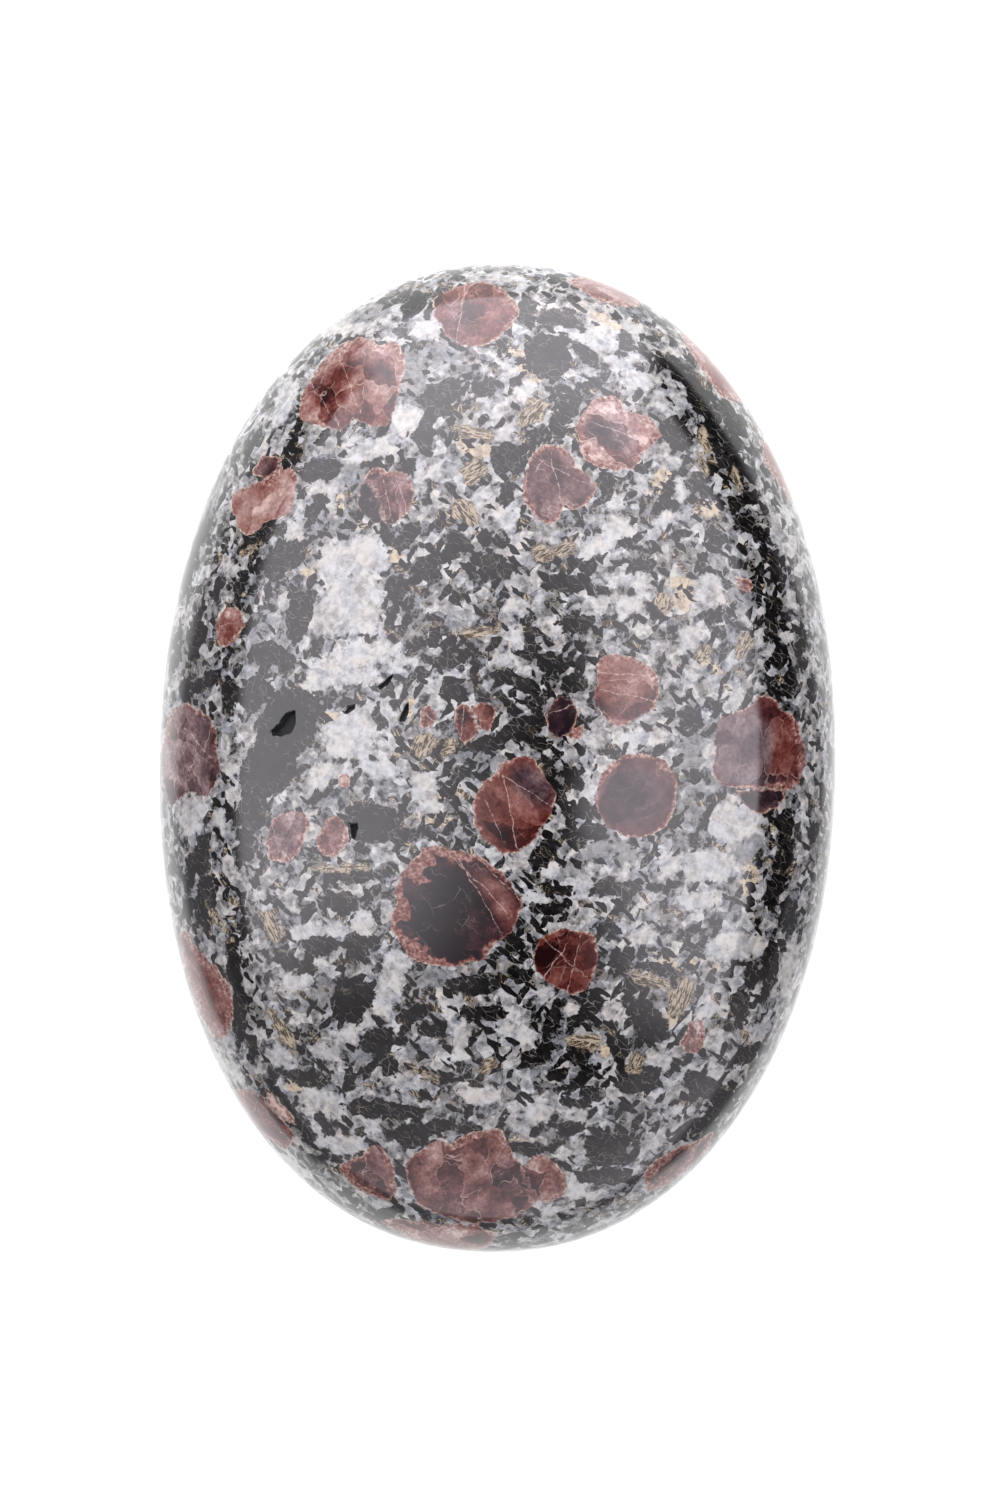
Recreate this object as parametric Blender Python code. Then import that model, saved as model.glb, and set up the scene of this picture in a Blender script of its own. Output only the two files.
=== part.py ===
"""A palm stone of spinel in matrix: one pebble of mottled rock, tumbled to a smooth oval and polished.

The frame is in metres, with +Z up. The stone lies on its broad side with its long axis along Y.
It leans a little about that axis, its +X side raised, on a small flat spot that was worn on its
underside. The origin is on the surface that it rests on, under the middle of its outline.
"""

import math

import bmesh
import bpy
from mathutils import Matrix, Vector, noise

# Driving dimensions, in metres and degrees.
LENGTH = 0.0600
WIDTH = 0.0413
THICKNESS = 0.0230
LEAN_DEGREES = 8.0
FLAT_DEPTH = 0.0004

# The outline and the profile are a little fuller than an ellipse, whose power is 2.
OUTLINE_POWER = 2.13
PROFILE_POWER = 2.06

# Tumbling left the outline faintly three-cornered, and the faces faintly uneven.
CORNER_SHARE = 0.003
CORNER_ANGLE_DEGREES = 97.0
UNEVEN_SHARE = 0.004
UNEVEN_LUMPS_ACROSS = 1.1

# Each face of the cube that the oval is blown up from has this many squares along its edge.
SQUARES_ACROSS = 26
CUT_TOLERANCE = 1e-6

# Open pits where a grain has fallen out: name, place across and along the stone as seen from
# above, length, width, depth and turn of the long way from +X.
PITS = (
    ("pit_left", -0.01289, 0.00175, 0.0022, 0.0009, 0.0007, 49.0),
    ("pit_lower", -0.00843, -0.00459, 0.0011, 0.0004, 0.0005, 96.0),
    ("pit_slit", -0.00569, 0.00282, 0.0014, 0.0004, 0.0005, 69.0),
    ("pit_crack", -0.00811, 0.00341, 0.0044, 0.0003, 0.0004, 38.0),
)

STONE_COLOUR = (0.23, 0.22, 0.23, 1.0)
STONE_ROUGHNESS = 0.12


def clear_scene():
    for obj in list(bpy.data.objects):
        bpy.data.objects.remove(obj, do_unlink=True)


def rock_material():
    material = bpy.data.materials.new("polished_rock")
    material.use_nodes = True
    shader = material.node_tree.nodes["Principled BSDF"]
    shader.inputs["Base Color"].default_value = STONE_COLOUR
    shader.inputs["Roughness"].default_value = STONE_ROUGHNESS
    shader.inputs["Metallic"].default_value = 0.0
    return material


def corner_share(direction):
    """How far the faintly three-cornered outline stands out in this direction, as a share."""
    around = math.atan2(direction.y, direction.x) - math.radians(CORNER_ANGLE_DEGREES)
    upright = 1.0 - direction.z**2
    return CORNER_SHARE * math.cos(3.0 * around) * upright


def uneven_share(direction):
    """The slow unevenness of a face that was tumbled and not cut, as a share."""
    return UNEVEN_SHARE * noise.noise(direction * UNEVEN_LUMPS_ACROSS)


def oval_point(direction):
    """The stone's surface in this unit direction, before it leans."""
    outline = abs(direction.x) ** OUTLINE_POWER + abs(direction.y) ** OUTLINE_POWER
    outline = outline ** (PROFILE_POWER / OUTLINE_POWER)
    fullness = (outline + abs(direction.z) ** PROFILE_POWER) ** (1.0 / PROFILE_POWER)
    reach = (1.0 + corner_share(direction) + uneven_share(direction)) / fullness
    return Vector(
        (
            0.5 * WIDTH * direction.x * reach,
            0.5 * LENGTH * direction.y * reach,
            0.5 * THICKNESS * direction.z * reach,
        )
    )


def middle_of(mesh, axis):
    """Halfway between the mesh's lowest and highest value along this axis."""
    values = [vertex.co[axis] for vertex in mesh.verts]
    return 0.5 * (min(values) + max(values))


def worn_flat(mesh):
    """Centres the stone's outline on the origin and wears its lowest points down to one flat spot."""
    drop = min(vertex.co.z for vertex in mesh.verts) + FLAT_DEPTH
    shift = (-middle_of(mesh, 0), -middle_of(mesh, 1), -drop)
    bmesh.ops.translate(mesh, verts=mesh.verts, vec=shift)
    all_of_it = [*mesh.verts, *mesh.edges, *mesh.faces]
    cut = bmesh.ops.bisect_plane(
        mesh,
        geom=all_of_it,
        dist=CUT_TOLERANCE,
        plane_co=(0.0, 0.0, 0.0),
        plane_no=(0.0, 0.0, -1.0),
        clear_outer=True,
    )
    rim = [item for item in cut["geom_cut"] if isinstance(item, bmesh.types.BMEdge)]
    for edge in rim:
        for vertex in edge.verts:
            vertex.co.z = 0.0
    bmesh.ops.contextual_create(mesh, geom=rim)


def stone_object(material):
    """The whole stone, blown up from a cube whose faces are cut into even squares."""
    mesh = bmesh.new()
    bmesh.ops.create_cube(mesh, size=2.0)
    bmesh.ops.subdivide_edges(
        mesh, edges=mesh.edges, cuts=SQUARES_ACROSS - 1, use_grid_fill=True
    )
    for vertex in mesh.verts:
        even = Vector(math.tan(0.25 * math.pi * side) for side in vertex.co)
        vertex.co = oval_point(even.normalized())
    lean = Matrix.Rotation(math.radians(-LEAN_DEGREES), 4, "Y")
    bmesh.ops.transform(mesh, matrix=lean, verts=mesh.verts)
    worn_flat(mesh)
    bmesh.ops.recalc_face_normals(mesh, faces=mesh.faces)
    data = bpy.data.meshes.new("spinel_in_matrix")
    mesh.to_mesh(data)
    mesh.free()
    data.materials.append(material)
    data.shade_smooth()
    stone = bpy.data.objects.new("spinel_in_matrix", data)
    bpy.context.scene.collection.objects.link(stone)
    return stone


def top_of(stone, across, along):
    """The point of the stone's upper face over this place, and the face's outward direction."""
    high = Vector((across, along, THICKNESS * 2.0))
    hit, point, normal, _ = stone.ray_cast(high, Vector((0.0, 0.0, -1.0)))
    if not hit:
        raise ValueError("a pit lies off the stone")
    return point, normal


def cut_pit(stone, name, across, along, length, width, depth, turn):
    """Takes one small hollow out of the upper face with a flattened, faceted ball."""
    point, normal = top_of(stone, across, along)
    mesh = bmesh.new()
    bmesh.ops.create_icosphere(mesh, subdivisions=2, radius=1.0)
    size = Matrix.Diagonal((0.5 * length, 0.5 * width, depth, 1.0))
    place = Matrix.Translation(point) @ normal.to_track_quat("Z", "Y").to_matrix().to_4x4()
    turned = Matrix.Rotation(math.radians(turn), 4, "Z")
    bmesh.ops.transform(mesh, matrix=place @ turned @ size, verts=mesh.verts)
    data = bpy.data.meshes.new(name)
    mesh.to_mesh(data)
    mesh.free()
    cutter = bpy.data.objects.new(name, data)
    bpy.context.scene.collection.objects.link(cutter)
    cutter.hide_render = True
    cutter.display_type = "WIRE"
    cut = stone.modifiers.new(name, "BOOLEAN")
    cut.operation = "DIFFERENCE"
    cut.solver = "EXACT"
    cut.object = cutter


def main():
    clear_scene()
    stone = stone_object(rock_material())
    bpy.context.view_layer.update()
    for pit in PITS:
        cut_pit(stone, *pit)


main()
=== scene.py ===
"""The looks of a palm stone of spinel in matrix: one pebble, tumbled smooth and polished.

The stone is a single closed mesh. Geometry Nodes blow it up from a cube into a full oval, and
the script then leans it, wears its resting spot and sinks the open pits. Crystals and grains are
flush with the polish, so they are colour: each one is an outline in millimetres that becomes a
smooth distance on the mesh, and the material breaks those distances up into rock.
"""

import logging
import math
from dataclasses import dataclass, field
from enum import Enum
from typing import Sequence

import bmesh
import bpy
import numpy as np
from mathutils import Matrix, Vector, noise


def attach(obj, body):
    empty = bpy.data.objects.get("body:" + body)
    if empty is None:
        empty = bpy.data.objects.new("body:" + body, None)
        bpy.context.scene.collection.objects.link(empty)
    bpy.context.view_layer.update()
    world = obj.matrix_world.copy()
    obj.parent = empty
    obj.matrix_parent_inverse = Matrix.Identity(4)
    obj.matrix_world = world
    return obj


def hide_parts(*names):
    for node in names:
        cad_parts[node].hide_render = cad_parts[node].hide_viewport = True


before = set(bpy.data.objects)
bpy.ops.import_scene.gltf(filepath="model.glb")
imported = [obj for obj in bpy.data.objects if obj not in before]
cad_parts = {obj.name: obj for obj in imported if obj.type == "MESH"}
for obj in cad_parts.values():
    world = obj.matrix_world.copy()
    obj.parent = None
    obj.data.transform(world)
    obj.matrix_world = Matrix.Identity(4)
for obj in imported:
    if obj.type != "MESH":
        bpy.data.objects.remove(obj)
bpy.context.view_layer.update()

LOG = logging.getLogger("palm_stone")
NODE = "spinel_in_matrix"
SLOT = "polished_rock"
MM = 0.001

Point = tuple[float, float]
Outline = tuple[Point, ...]
Colour = tuple[float, float, float, float]
Stops = tuple[tuple[float, Colour], ...]
Span = tuple[float, float]
Triple = tuple[float, float, float]
Grade = tuple[float, float, float, float]
Socket = bpy.types.NodeSocket


class Grain(Enum):
    """The kinds of patches in the rock between the crystals.

    Each has the name of the mesh attribute that says how far inside such a patch a place is, and
    half the width of the patch's soft edge, both in millimetres.
    """

    DARK = ("dark", 0.06)
    PALE = ("pale", 0.22)
    GREY = ("grey", 0.10)
    GOLD = ("gold", 0.06)
    TAN = ("tan", 0.08)


class Tone(Enum):
    """How a crystal looks: its tone, from 0 for the deepest red to 1 for pink, and its swing."""

    DEEP = (0.36, 0.52)
    NEAR_BLACK = (0.08, 0.40)
    BRICK = (0.52, 0.75)
    MAUVE = (0.33, 0.35)
    BROWN = (0.55, 0.75)
    SALMON = (0.68, 0.55)
    MOTTLED = (0.62, 0.95)


@dataclass(frozen=True)
class Crystal:
    """One crystal that the polish has cut through, as seen from above.

    Attributes:
        name: What to call it.
        tone: Its depth of red and its cloudiness.
        rim: The width of its pale rim, in millimetres.
        lie: The direction of its main cracks, in degrees from +X.
        outline: Its corners in millimetres from the middle of the stone.
        side: The direction in which its rim is widest, where it is lopsided, in degrees from +X.
        shift: How much paler it is than its tone.
        cracks: Up to three long cracks, each from end to end.
        dusk: How grey it is, from 0 for red to 1 for a mauve grey.
    """

    name: str
    tone: Tone
    rim: float
    lie: float
    outline: Outline
    side: float | None = None
    shift: float = 0.0
    cracks: tuple[tuple[float, float, float, float], ...] = ()
    dusk: float = 0.0

    def rim_at(self, local: np.ndarray) -> np.ndarray:
        """How wide the rim is towards each place, in millimetres.

        Args:
            local: Places as seen from the crystal's middle.

        Returns:
            The widths.
        """
        if self.side is None:
            return np.full(len(local), self.rim)
        turn = np.arctan2(local[:, 1], local[:, 0]) - math.radians(self.side)
        narrowest, power = 0.12, 1.5
        share = (0.5 + 0.5 * np.cos(turn)) ** power
        return self.rim * (narrowest + (1.0 - narrowest) * share)

    def beside_cracks(self, plan: np.ndarray) -> np.ndarray:
        """How far each place is beside each crack, with a sign for the side.

        Args:
            plan: Places as seen from above.

        Returns:
            Three distances to a place. They grow beyond a crack's ends, where it peters out.
        """
        beside = np.full((len(plan), 3), Canvas.CLEAR)
        for index, line in enumerate(self.cracks):
            start, end = np.array(line[:2]), np.array(line[2:])
            reach = np.linalg.norm(end - start)
            along = (plan - start) @ (end - start) / reach
            aside = np.cross(end - start, plan - start) / reach
            beyond = np.maximum(np.maximum(-along, along - reach), 0.0)
            beside[:, index] = aside + np.sign(aside) * beyond
        return beside


def tenths(*numbers: float) -> Outline:
    """An outline in millimetres, from how far across and along each corner is in tenths of one."""
    return tuple((across / 10, along / 10) for across, along in zip(numbers[::2], numbers[1::2]))


CRYSTALS: tuple[Crystal, ...] = (
    Crystal("top", Tone.BROWN, 0.25, 85, tenths(
        -39, 270, -38, 278, -32, 283, -22, 287, -10, 289, 0, 287, 6, 283, 11, 278, 14, 272, 12, 266,
        7, 260, 0, 253, -9, 250, -20, 250, -29, 255, -35, 263), side=20, shift=-0.2,
        cracks=((-1.95, 28.6, -2.45, 25.1),)),
    Crystal("upper_left", Tone.BRICK, 0.35, 100, tenths(
        -120, 212, -119, 220, -114, 229, -108, 237, -105, 243, -97, 249, -90, 253, -82, 256, -76, 253,
        -70, 250, -65, 253, -59, 251, -56, 244, -56, 234, -59, 224, -61, 216, -64, 206, -67, 200,
        -76, 201, -87, 206, -92, 201, -98, 198, -105, 200, -112, 203, -119, 206), side=100,
        shift=-0.04, cracks=((-9.5, 24.2, -8.3, 20.9), (-11.2, 22.6, -9.6, 20.2))),
    Crystal("left_salmon", Tone.SALMON, 0.3, 30, tenths(
        -162, 159, -153, 164, -145, 167, -137, 170, -130, 176, -123, 175, -120, 170, -122, 162,
        -123, 154, -127, 147, -133, 145, -140, 143, -145, 138, -151, 135, -156, 137, -158, 144,
        -161, 151), side=40),
    Crystal("left_brown", Tone.DEEP, 0.12, 40, tenths(
        -150, 173, -146, 179, -142, 183, -135, 183, -130, 182, -131, 177, -136, 172, -143, 169),
        shift=-0.16, dusk=0.5),
    Crystal("heart", Tone.BROWN, 0.3, 60, tenths(
        -74, 163, -80, 169, -78, 175, -71, 177, -66, 173, -62, 175, -56, 173, -52, 169, -50, 160,
        -52, 151, -56, 146, -61, 142, -67, 141, -70, 152), side=60, shift=-0.13,
        cracks=((-6.95, 17.2, -6.3, 14.3), (-6.05, 16.85, -5.45, 14.85)), dusk=0.4),
    Crystal("heart_core", Tone.NEAR_BLACK, 0.05, 60, tenths(
        -84, 163, -81, 167, -76, 164, -71, 154, -69, 142, -74, 143, -81, 148, -85, 155), shift=-0.06,
        dusk=0.9),
    Crystal("top_rim", Tone.SALMON, 0.2, -25, tenths(
        43, 290, 52, 293, 62, 290, 74, 285, 83, 281, 89, 276, 84, 273, 70, 275, 60, 278, 52, 283,
        46, 287), shift=-0.06, dusk=0.25),
    Crystal("upper_right", Tone.MOTTLED, 0.3, -35, tenths(
        50, 205, 54, 212, 61, 219, 70, 220, 76, 216, 78, 210, 85, 210, 93, 206, 98, 200, 100, 195,
        96, 190, 89, 185, 87, 180, 83, 175, 74, 173.5, 64, 175, 56, 180, 51, 186, 50, 193, 48, 199),
        cracks=((6, 20.3, 9, 19.3), (7.2, 19.8, 8.5, 17.85)), dusk=0.2, shift=-0.08),
    Crystal("upper_brown", Tone.BROWN, 0.2, -50, tenths(
        30, 190, 38, 189, 46, 184, 49, 176, 57, 170, 61, 165, 60, 159, 54, 153, 47, 150, 40, 154,
        39, 148, 36, 142, 30, 141, 24, 146, 20, 152, 15, 159, 16, 169, 19, 178, 22, 186),
        cracks=((2.25, 18.3, 5.5, 16.6), (3.25, 18.8, 4, 15.3)), dusk=0.55),
    Crystal("right_rim_upper", Tone.SALMON, 0.25, -50, tenths(
        111, 259, 121, 254, 131, 244, 141, 232, 151, 220, 152, 215, 144, 216, 135, 221, 129, 229,
        122, 239, 116, 248), shift=-0.06),
    Crystal("right_rim_lower", Tone.SALMON, 0.35, -60, tenths(
        160, 193, 166, 191, 174, 178, 181, 165, 185, 155, 179, 155, 172, 164, 168, 172, 163, 180),
        shift=-0.12),
    Crystal("right_speck", Tone.MOTTLED, 0.2, 0, tenths(
        144, 110, 153, 109, 157, 104, 153, 100, 148, 102), shift=0.08, dusk=0.7),
    Crystal("left_berry", Tone.BRICK, 0.2, 70, tenths(
        -169, 86, -164, 91, -158, 92, -154, 87, -153, 80, -156, 74, -160, 70, -165, 66, -169, 70,
        -171, 78), shift=0.06),
    Crystal("left_rim", Tone.BROWN, 0.2, -60, tenths(
        -199, 25, -195, 31, -188, 33, -181, 29, -173, 24, -170, 15, -170, 5, -168, -2, -168, -9,
        -171, -18, -175, -23, -181, -22, -187, -21, -192, -25, -198, -29, -203, -15, -203, 5),
        side=120, shift=-0.14, cracks=((-19.05, 1.9, -17, -0.4), (-18.15, 1, -19.05, -2.7)), dusk=0.6),
    Crystal("left_chip", Tone.SALMON, 0.1, 20, tenths(
        -96, -11, -92, -9, -89, -12, -88, -17, -92, -19, -96, -18), shift=0.08),
    Crystal("mottled_left", Tone.MOTTLED, 0.2, 80, tenths(
        -139, -42, -133, -35, -126, -33, -119, -33, -114, -36, -114, -42, -117, -48, -119, -56,
        -123, -62, -130, -64, -137, -61, -140, -53), shift=-0.24, dusk=0.6),
    Crystal("mottled_right", Tone.MOTTLED, 0.25, 60, tenths(
        -109, -48, -105, -40, -100, -35, -94, -36, -91, -42, -89, -49, -93, -56, -99, -62, -106, -59,
        -110, -54), shift=0.09, dusk=0.25),
    Crystal("pair_left", Tone.DEEP, 0.12, 70, tenths(
        -26, 28, -22, 33, -17, 31, -14, 25, -11, 19, -13, 13, -19, 7, -23, 11, -25, 19), shift=-0.14,
        cracks=((-1.9, 3.2, -2.2, 1),)),
    Crystal("pair_right", Tone.BRICK, 0.12, 110, tenths(
        -15, 30, -11, 34, -5, 33, 0, 30, -1, 23, -5, 16, -9, 20, -13, 26), shift=-0.06),
    Crystal("faint", Tone.MOTTLED, 0.2, 80, tenths(
        -46, 29, -41, 32, -37, 27, -38, 20, -42, 16, -47, 19), shift=-0.08, dusk=0.35),
    Crystal("largest", Tone.NEAR_BLACK, 1.15, -38, tenths(
        -46, -57, -42, -54, -33, -53, -26, -56, -20, -57, -12, -59, -4, -64, 2, -69, 6, -73, 10, -79,
        15, -86, 16, -92, 12, -98, 9, -106, 2, -110, -4, -116, -9, -123, -20, -126, -32, -127,
        -44, -126, -52, -122, -58, -114, -64, -104, -65, -96, -60, -90, -62, -82, -59, -72, -52, -63),
        side=165,
        cracks=((-3.3, -5.4, 0.65, -9.4), (-1.8, -5.4, 1.35, -8.6), (-2.6, -5.6, 0.2, -10.4)),
        dusk=0.5),
    Crystal("middle", Tone.DEEP, 0.25, -35, tenths(
        -15, -30, -12, -20, -7, -13, -1, -9, 3, -4, 9, 0, 17, 1, 23, 0, 26, -5, 30, -12, 35, -20,
        36, -25, 34, -33, 30, -39, 26, -45, 20, -54, 12, -58, 4, -58, -3, -53, -9, -48, -14, -40),
        side=170, shift=-0.04,
        cracks=((0.4, -1.05, 1.35, -5.8), (0.45, -1.15, 3.45, -3), (-0.6, -2.6, 0.2, -4.6))),
    Crystal("dark_bead", Tone.NEAR_BLACK, 0.1, 45, tenths(
        30, 24, 33, 32, 39, 38, 46, 34, 50, 28, 49, 21, 45, 15, 38, 11, 32, 16), shift=-0.08,
        cracks=((3.1, 2.6, 4.6, 3.2),), dusk=0.7),
    Crystal("bead_skirt", Tone.SALMON, 0.1, 20, tenths(
        46, 18, 53, 21, 53, 14, 48, 11, 43, 12), shift=-0.08),
    Crystal("right_brown", Tone.BRICK, 0.3, 10, tenths(
        60, 54, 63, 60, 70, 63, 79, 62, 88, 59, 95, 54, 99, 47, 99, 38, 96, 30, 90, 27, 82, 22, 74, 19,
        68, 21, 65, 26, 61, 31, 59, 38, 61, 46), side=60,
        cracks=((6.2, 4.1, 9.7, 3.4), (6.5, 2.9, 7.5, 1.6), (6.2, 5.2, 9.2, 5))),
    Crystal("right_mauve", Tone.MAUVE, 0.55, 30, tenths(
        64, -9, 70, -3, 77, 1, 86, 3, 94, 1, 102, -2, 108, -9, 110, -18, 109, -27, 106, -35, 102, -42,
        95, -47, 87, -49, 77, -47, 69, -43, 63, -37, 60, -28, 61, -18), side=75, dusk=0.5),
    Crystal("right_large", Tone.DEEP, 0.3, 75, tenths(
        136, 24, 144, 27, 154, 31, 159, 37, 165, 38, 170, 34, 173, 29, 180, 26, 184, 20, 185, 12,
        188, 5, 187, -5, 184, -14, 180, -20, 174, -19, 160, -18, 146, -19, 140, -18, 133, -14, 131, -6,
        132, 5, 133, 15), side=-20, shift=0.03, dusk=0.25),
    Crystal("right_foot", Tone.NEAR_BLACK, 0.1, 0, tenths(
        146, -22, 154, -20, 166, -19, 175, -20, 175, -25, 171, -30, 164, -34, 158, -34, 151, -29),
        shift=0.1, dusk=0.8),
    Crystal("lower_red", Tone.DEEP, 0.2, 50, tenths(
        22, -119, 26, -111, 32, -106, 40, -104, 50, -105, 58, -106, 61, -112, 61, -121, 60, -129,
        57, -137, 52, -143, 46, -145, 39, -141, 32, -137, 26, -131, 22, -126), side=0, shift=-0.1,
        cracks=((2.75, -10.9, 5.2, -13.15), (4.15, -11.55, 2.75, -13.5), (5.2, -10.7, 4.3, -14.5))),
    Crystal("lower_left_rim", Tone.BRICK, 0.35, -65, tenths(
        -189, -104, -184, -113, -177, -120, -170, -127, -164, -135, -160, -142, -160, -152, -161, -163,
        -164, -170, -171, -170, -179, -158, -186, -140, -190, -123, -193, -108)),
    Crystal("lower_left_brown", Tone.BROWN, 0.1, -55, tenths(
        -158, -200, -148, -203, -141, -208, -135, -216, -128, -222, -123, -229, -124, -234, -128, -239,
        -137, -232, -148, -221, -156, -210), shift=-0.12),
    Crystal("lower_left_strip", Tone.SALMON, 0.12, -50, tenths(
        -140, -203, -135, -205, -129, -211, -124, -218, -122, -223, -129, -220, -135, -214, -140, -208),
        shift=0.14),
    Crystal("foot_left", Tone.BROWN, 0.3, -60, tenths(
        -97, -249, -90, -244, -83, -242, -78, -237, -73, -235, -68, -237, -65, -243, -62, -249,
        -61, -256, -61, -264, -65, -269, -72, -268, -80, -264, -88, -259, -92, -254), shift=-0.25,
        dusk=0.25),
    Crystal("foot_middle", Tone.BROWN, 0.35, 80, tenths(
        -56, -250, -52, -242, -46, -238, -40, -234, -34, -233, -28, -235, -22, -230, -15, -227,
        -7, -227, 0, -224, 5, -228, 7, -235, 11, -242, 15, -248, 22, -260, 26, -269, 20, -274, 10, -279,
        0, -282, -14, -283, -28, -280, -40, -276, -48, -270, -52, -262), side=80, shift=-0.2, dusk=0.1),
    Crystal("foot_right", Tone.MOTTLED, 0.2, 60, tenths(
        17, -248, 23, -242, 30, -241, 36, -246, 41, -253, 43, -260, 40, -266, 34, -270, 26, -269,
        20, -263, 16, -256), shift=-0.2),
    Crystal("bottom_rim", Tone.MOTTLED, 0.2, 5, tenths(
        -70, -281, -55, -280, -40, -282, -26, -284, -12, -284, 0, -289, -5, -298, -20, -300, -36, -297,
        -52, -292, -64, -286), shift=-0.07),
    Crystal("lower_right_speck", Tone.MOTTLED, 0.25, 70, tenths(
        116, -161, 122, -158, 126, -162, 126, -169, 125, -176, 121, -179, 114, -179, 111, -174,
        115, -168), shift=-0.19, dusk=0.4),
    Crystal("lower_right_rim", Tone.BROWN, 0.3, 35, tenths(
        88, -253, 97, -244, 107, -238, 119, -234, 126, -229, 134, -226, 126, -240, 116, -250, 102, -260,
        92, -263), shift=-0.08, dusk=0.5),
)

# Deeper, paler and cloudier places inside the crystals, and one thin pale band in left_salmon that is a
# painted highlight: middle across and along, length and width in millimetres, the turn of the long way
# from +X in degrees, and how much paler and how much greyer the crystal is there.
BLOTCHES_AND_HIGHLIGHT: tuple[tuple[float, ...], ...] = (
    (-2.9, 27, 2.2, 1.4, 80, -0.12, 0), (0.2, 27.4, 1.8, 1.2, -20, 0.16, 0),
    (-9.6, 23.2, 2, 1, 75, -0.26, 0), (-10.6, 22.2, 1.6, 0.9, 60, -0.18, 0),
    (-7.4, 24.6, 2.2, 1.4, 10, 0.12, 0), (-7.2, 21.6, 2.4, 1.8, -20, -0.1, 0),
    # The second entry on the next line, the thin pale band at (-14, 15.6), is a painted highlight on
    # left_salmon.
    (-11.2, 20.8, 1.4, 0.9, 10, 0.1, 0), (-14, 15.6, 2.6, 0.5, 38, 0.2, 0),
    (-5.9, 16, 2, 0.9, 70, 0.1, 0), (6.9, 19.6, 3.2, 1.5, -30, -0.09, 0.5),
    (9, 19.4, 1.5, 2.2, -20, 0.03, -0.2), (3.4, 17, 3, 1.4, -55, -0.1, 0),
    (-16.3, 8.7, 1, 0.8, 0, 0.15, 0), (-16, 7.4, 1, 0.9, 60, -0.18, 0),
    (-18.6, 1.4, 2.4, 1.2, -70, 0.12, 0), (-17.8, -0.6, 2.6, 1, -65, -0.16, 0),
    (-1, 2.9, 0.8, 0.6, 30, 0.35, 0), (-2.1, 2.2, 1.2, 0.8, 70, -0.1, 0),
    (-3, -9.6, 5.4, 5, -40, -0.1, 0), (0.2, -8.6, 3.2, 1.5, -42, 0.36, -0.2),
    (0.6, -9.9, 2.2, 1.1, -60, 0.32, -0.2), (-0.8, -7.2, 3, 1.1, -38, 0.3, -0.1),
    (2.2, -1.7, 3, 1.8, -42, -0.06, 0.75), (0.4, -3.2, 3.2, 2.8, 60, -0.04, 0),
    (2.4, -2.6, 2.2, 1.2, -50, -0.05, 0), (1.4, -4.6, 2.2, 1.2, 10, -0.05, 0),
    (8.8, 4.8, 2.4, 1.6, 20, 0.12, 0), (7.2, 3.2, 2.4, 1.6, 0, -0.06, 0),
    (8.3, -2.4, 3.6, 3.2, 0, -0.03, 0.35), (14.9, 0.6, 3.6, 4.4, 0, 0.06, 0.6),
    (17.7, 0.8, 1.6, 4.4, -6, -0.14, -0.3), (3.6, -12.2, 2.2, 2, 30, -0.14, 0),
    (5.2, -11.6, 1.4, 1.6, 60, 0.04, 0), (-2, -25, 3, 2, 20, 0.08, 0),
    (0.4, -26.4, 3, 1.6, -20, -0.12, 0), (-3.6, -26.4, 2.2, 1.4, 30, -0.1, 0),
    (-7.6, -25.2, 1.8, 1, -40, -0.1, 0), (6.6, 21.4, 2.4, 1, 20, 0.03, -0.2),
    (6.2, 18.4, 2.4, 0.9, -10, 0.04, -0.2), (16, -1.5, 3.4, 0.6, 0, -0.1, 0.6),
    (-3.6, -9.2, 2.6, 4.6, -20, 0, 0.3), (1, -25.4, 2.2, 2.2, 0, -0.06, 0.3),
    (-2.2, 26.6, 1.6, 2.4, 0, -0.04, 0.35),
)

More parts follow.
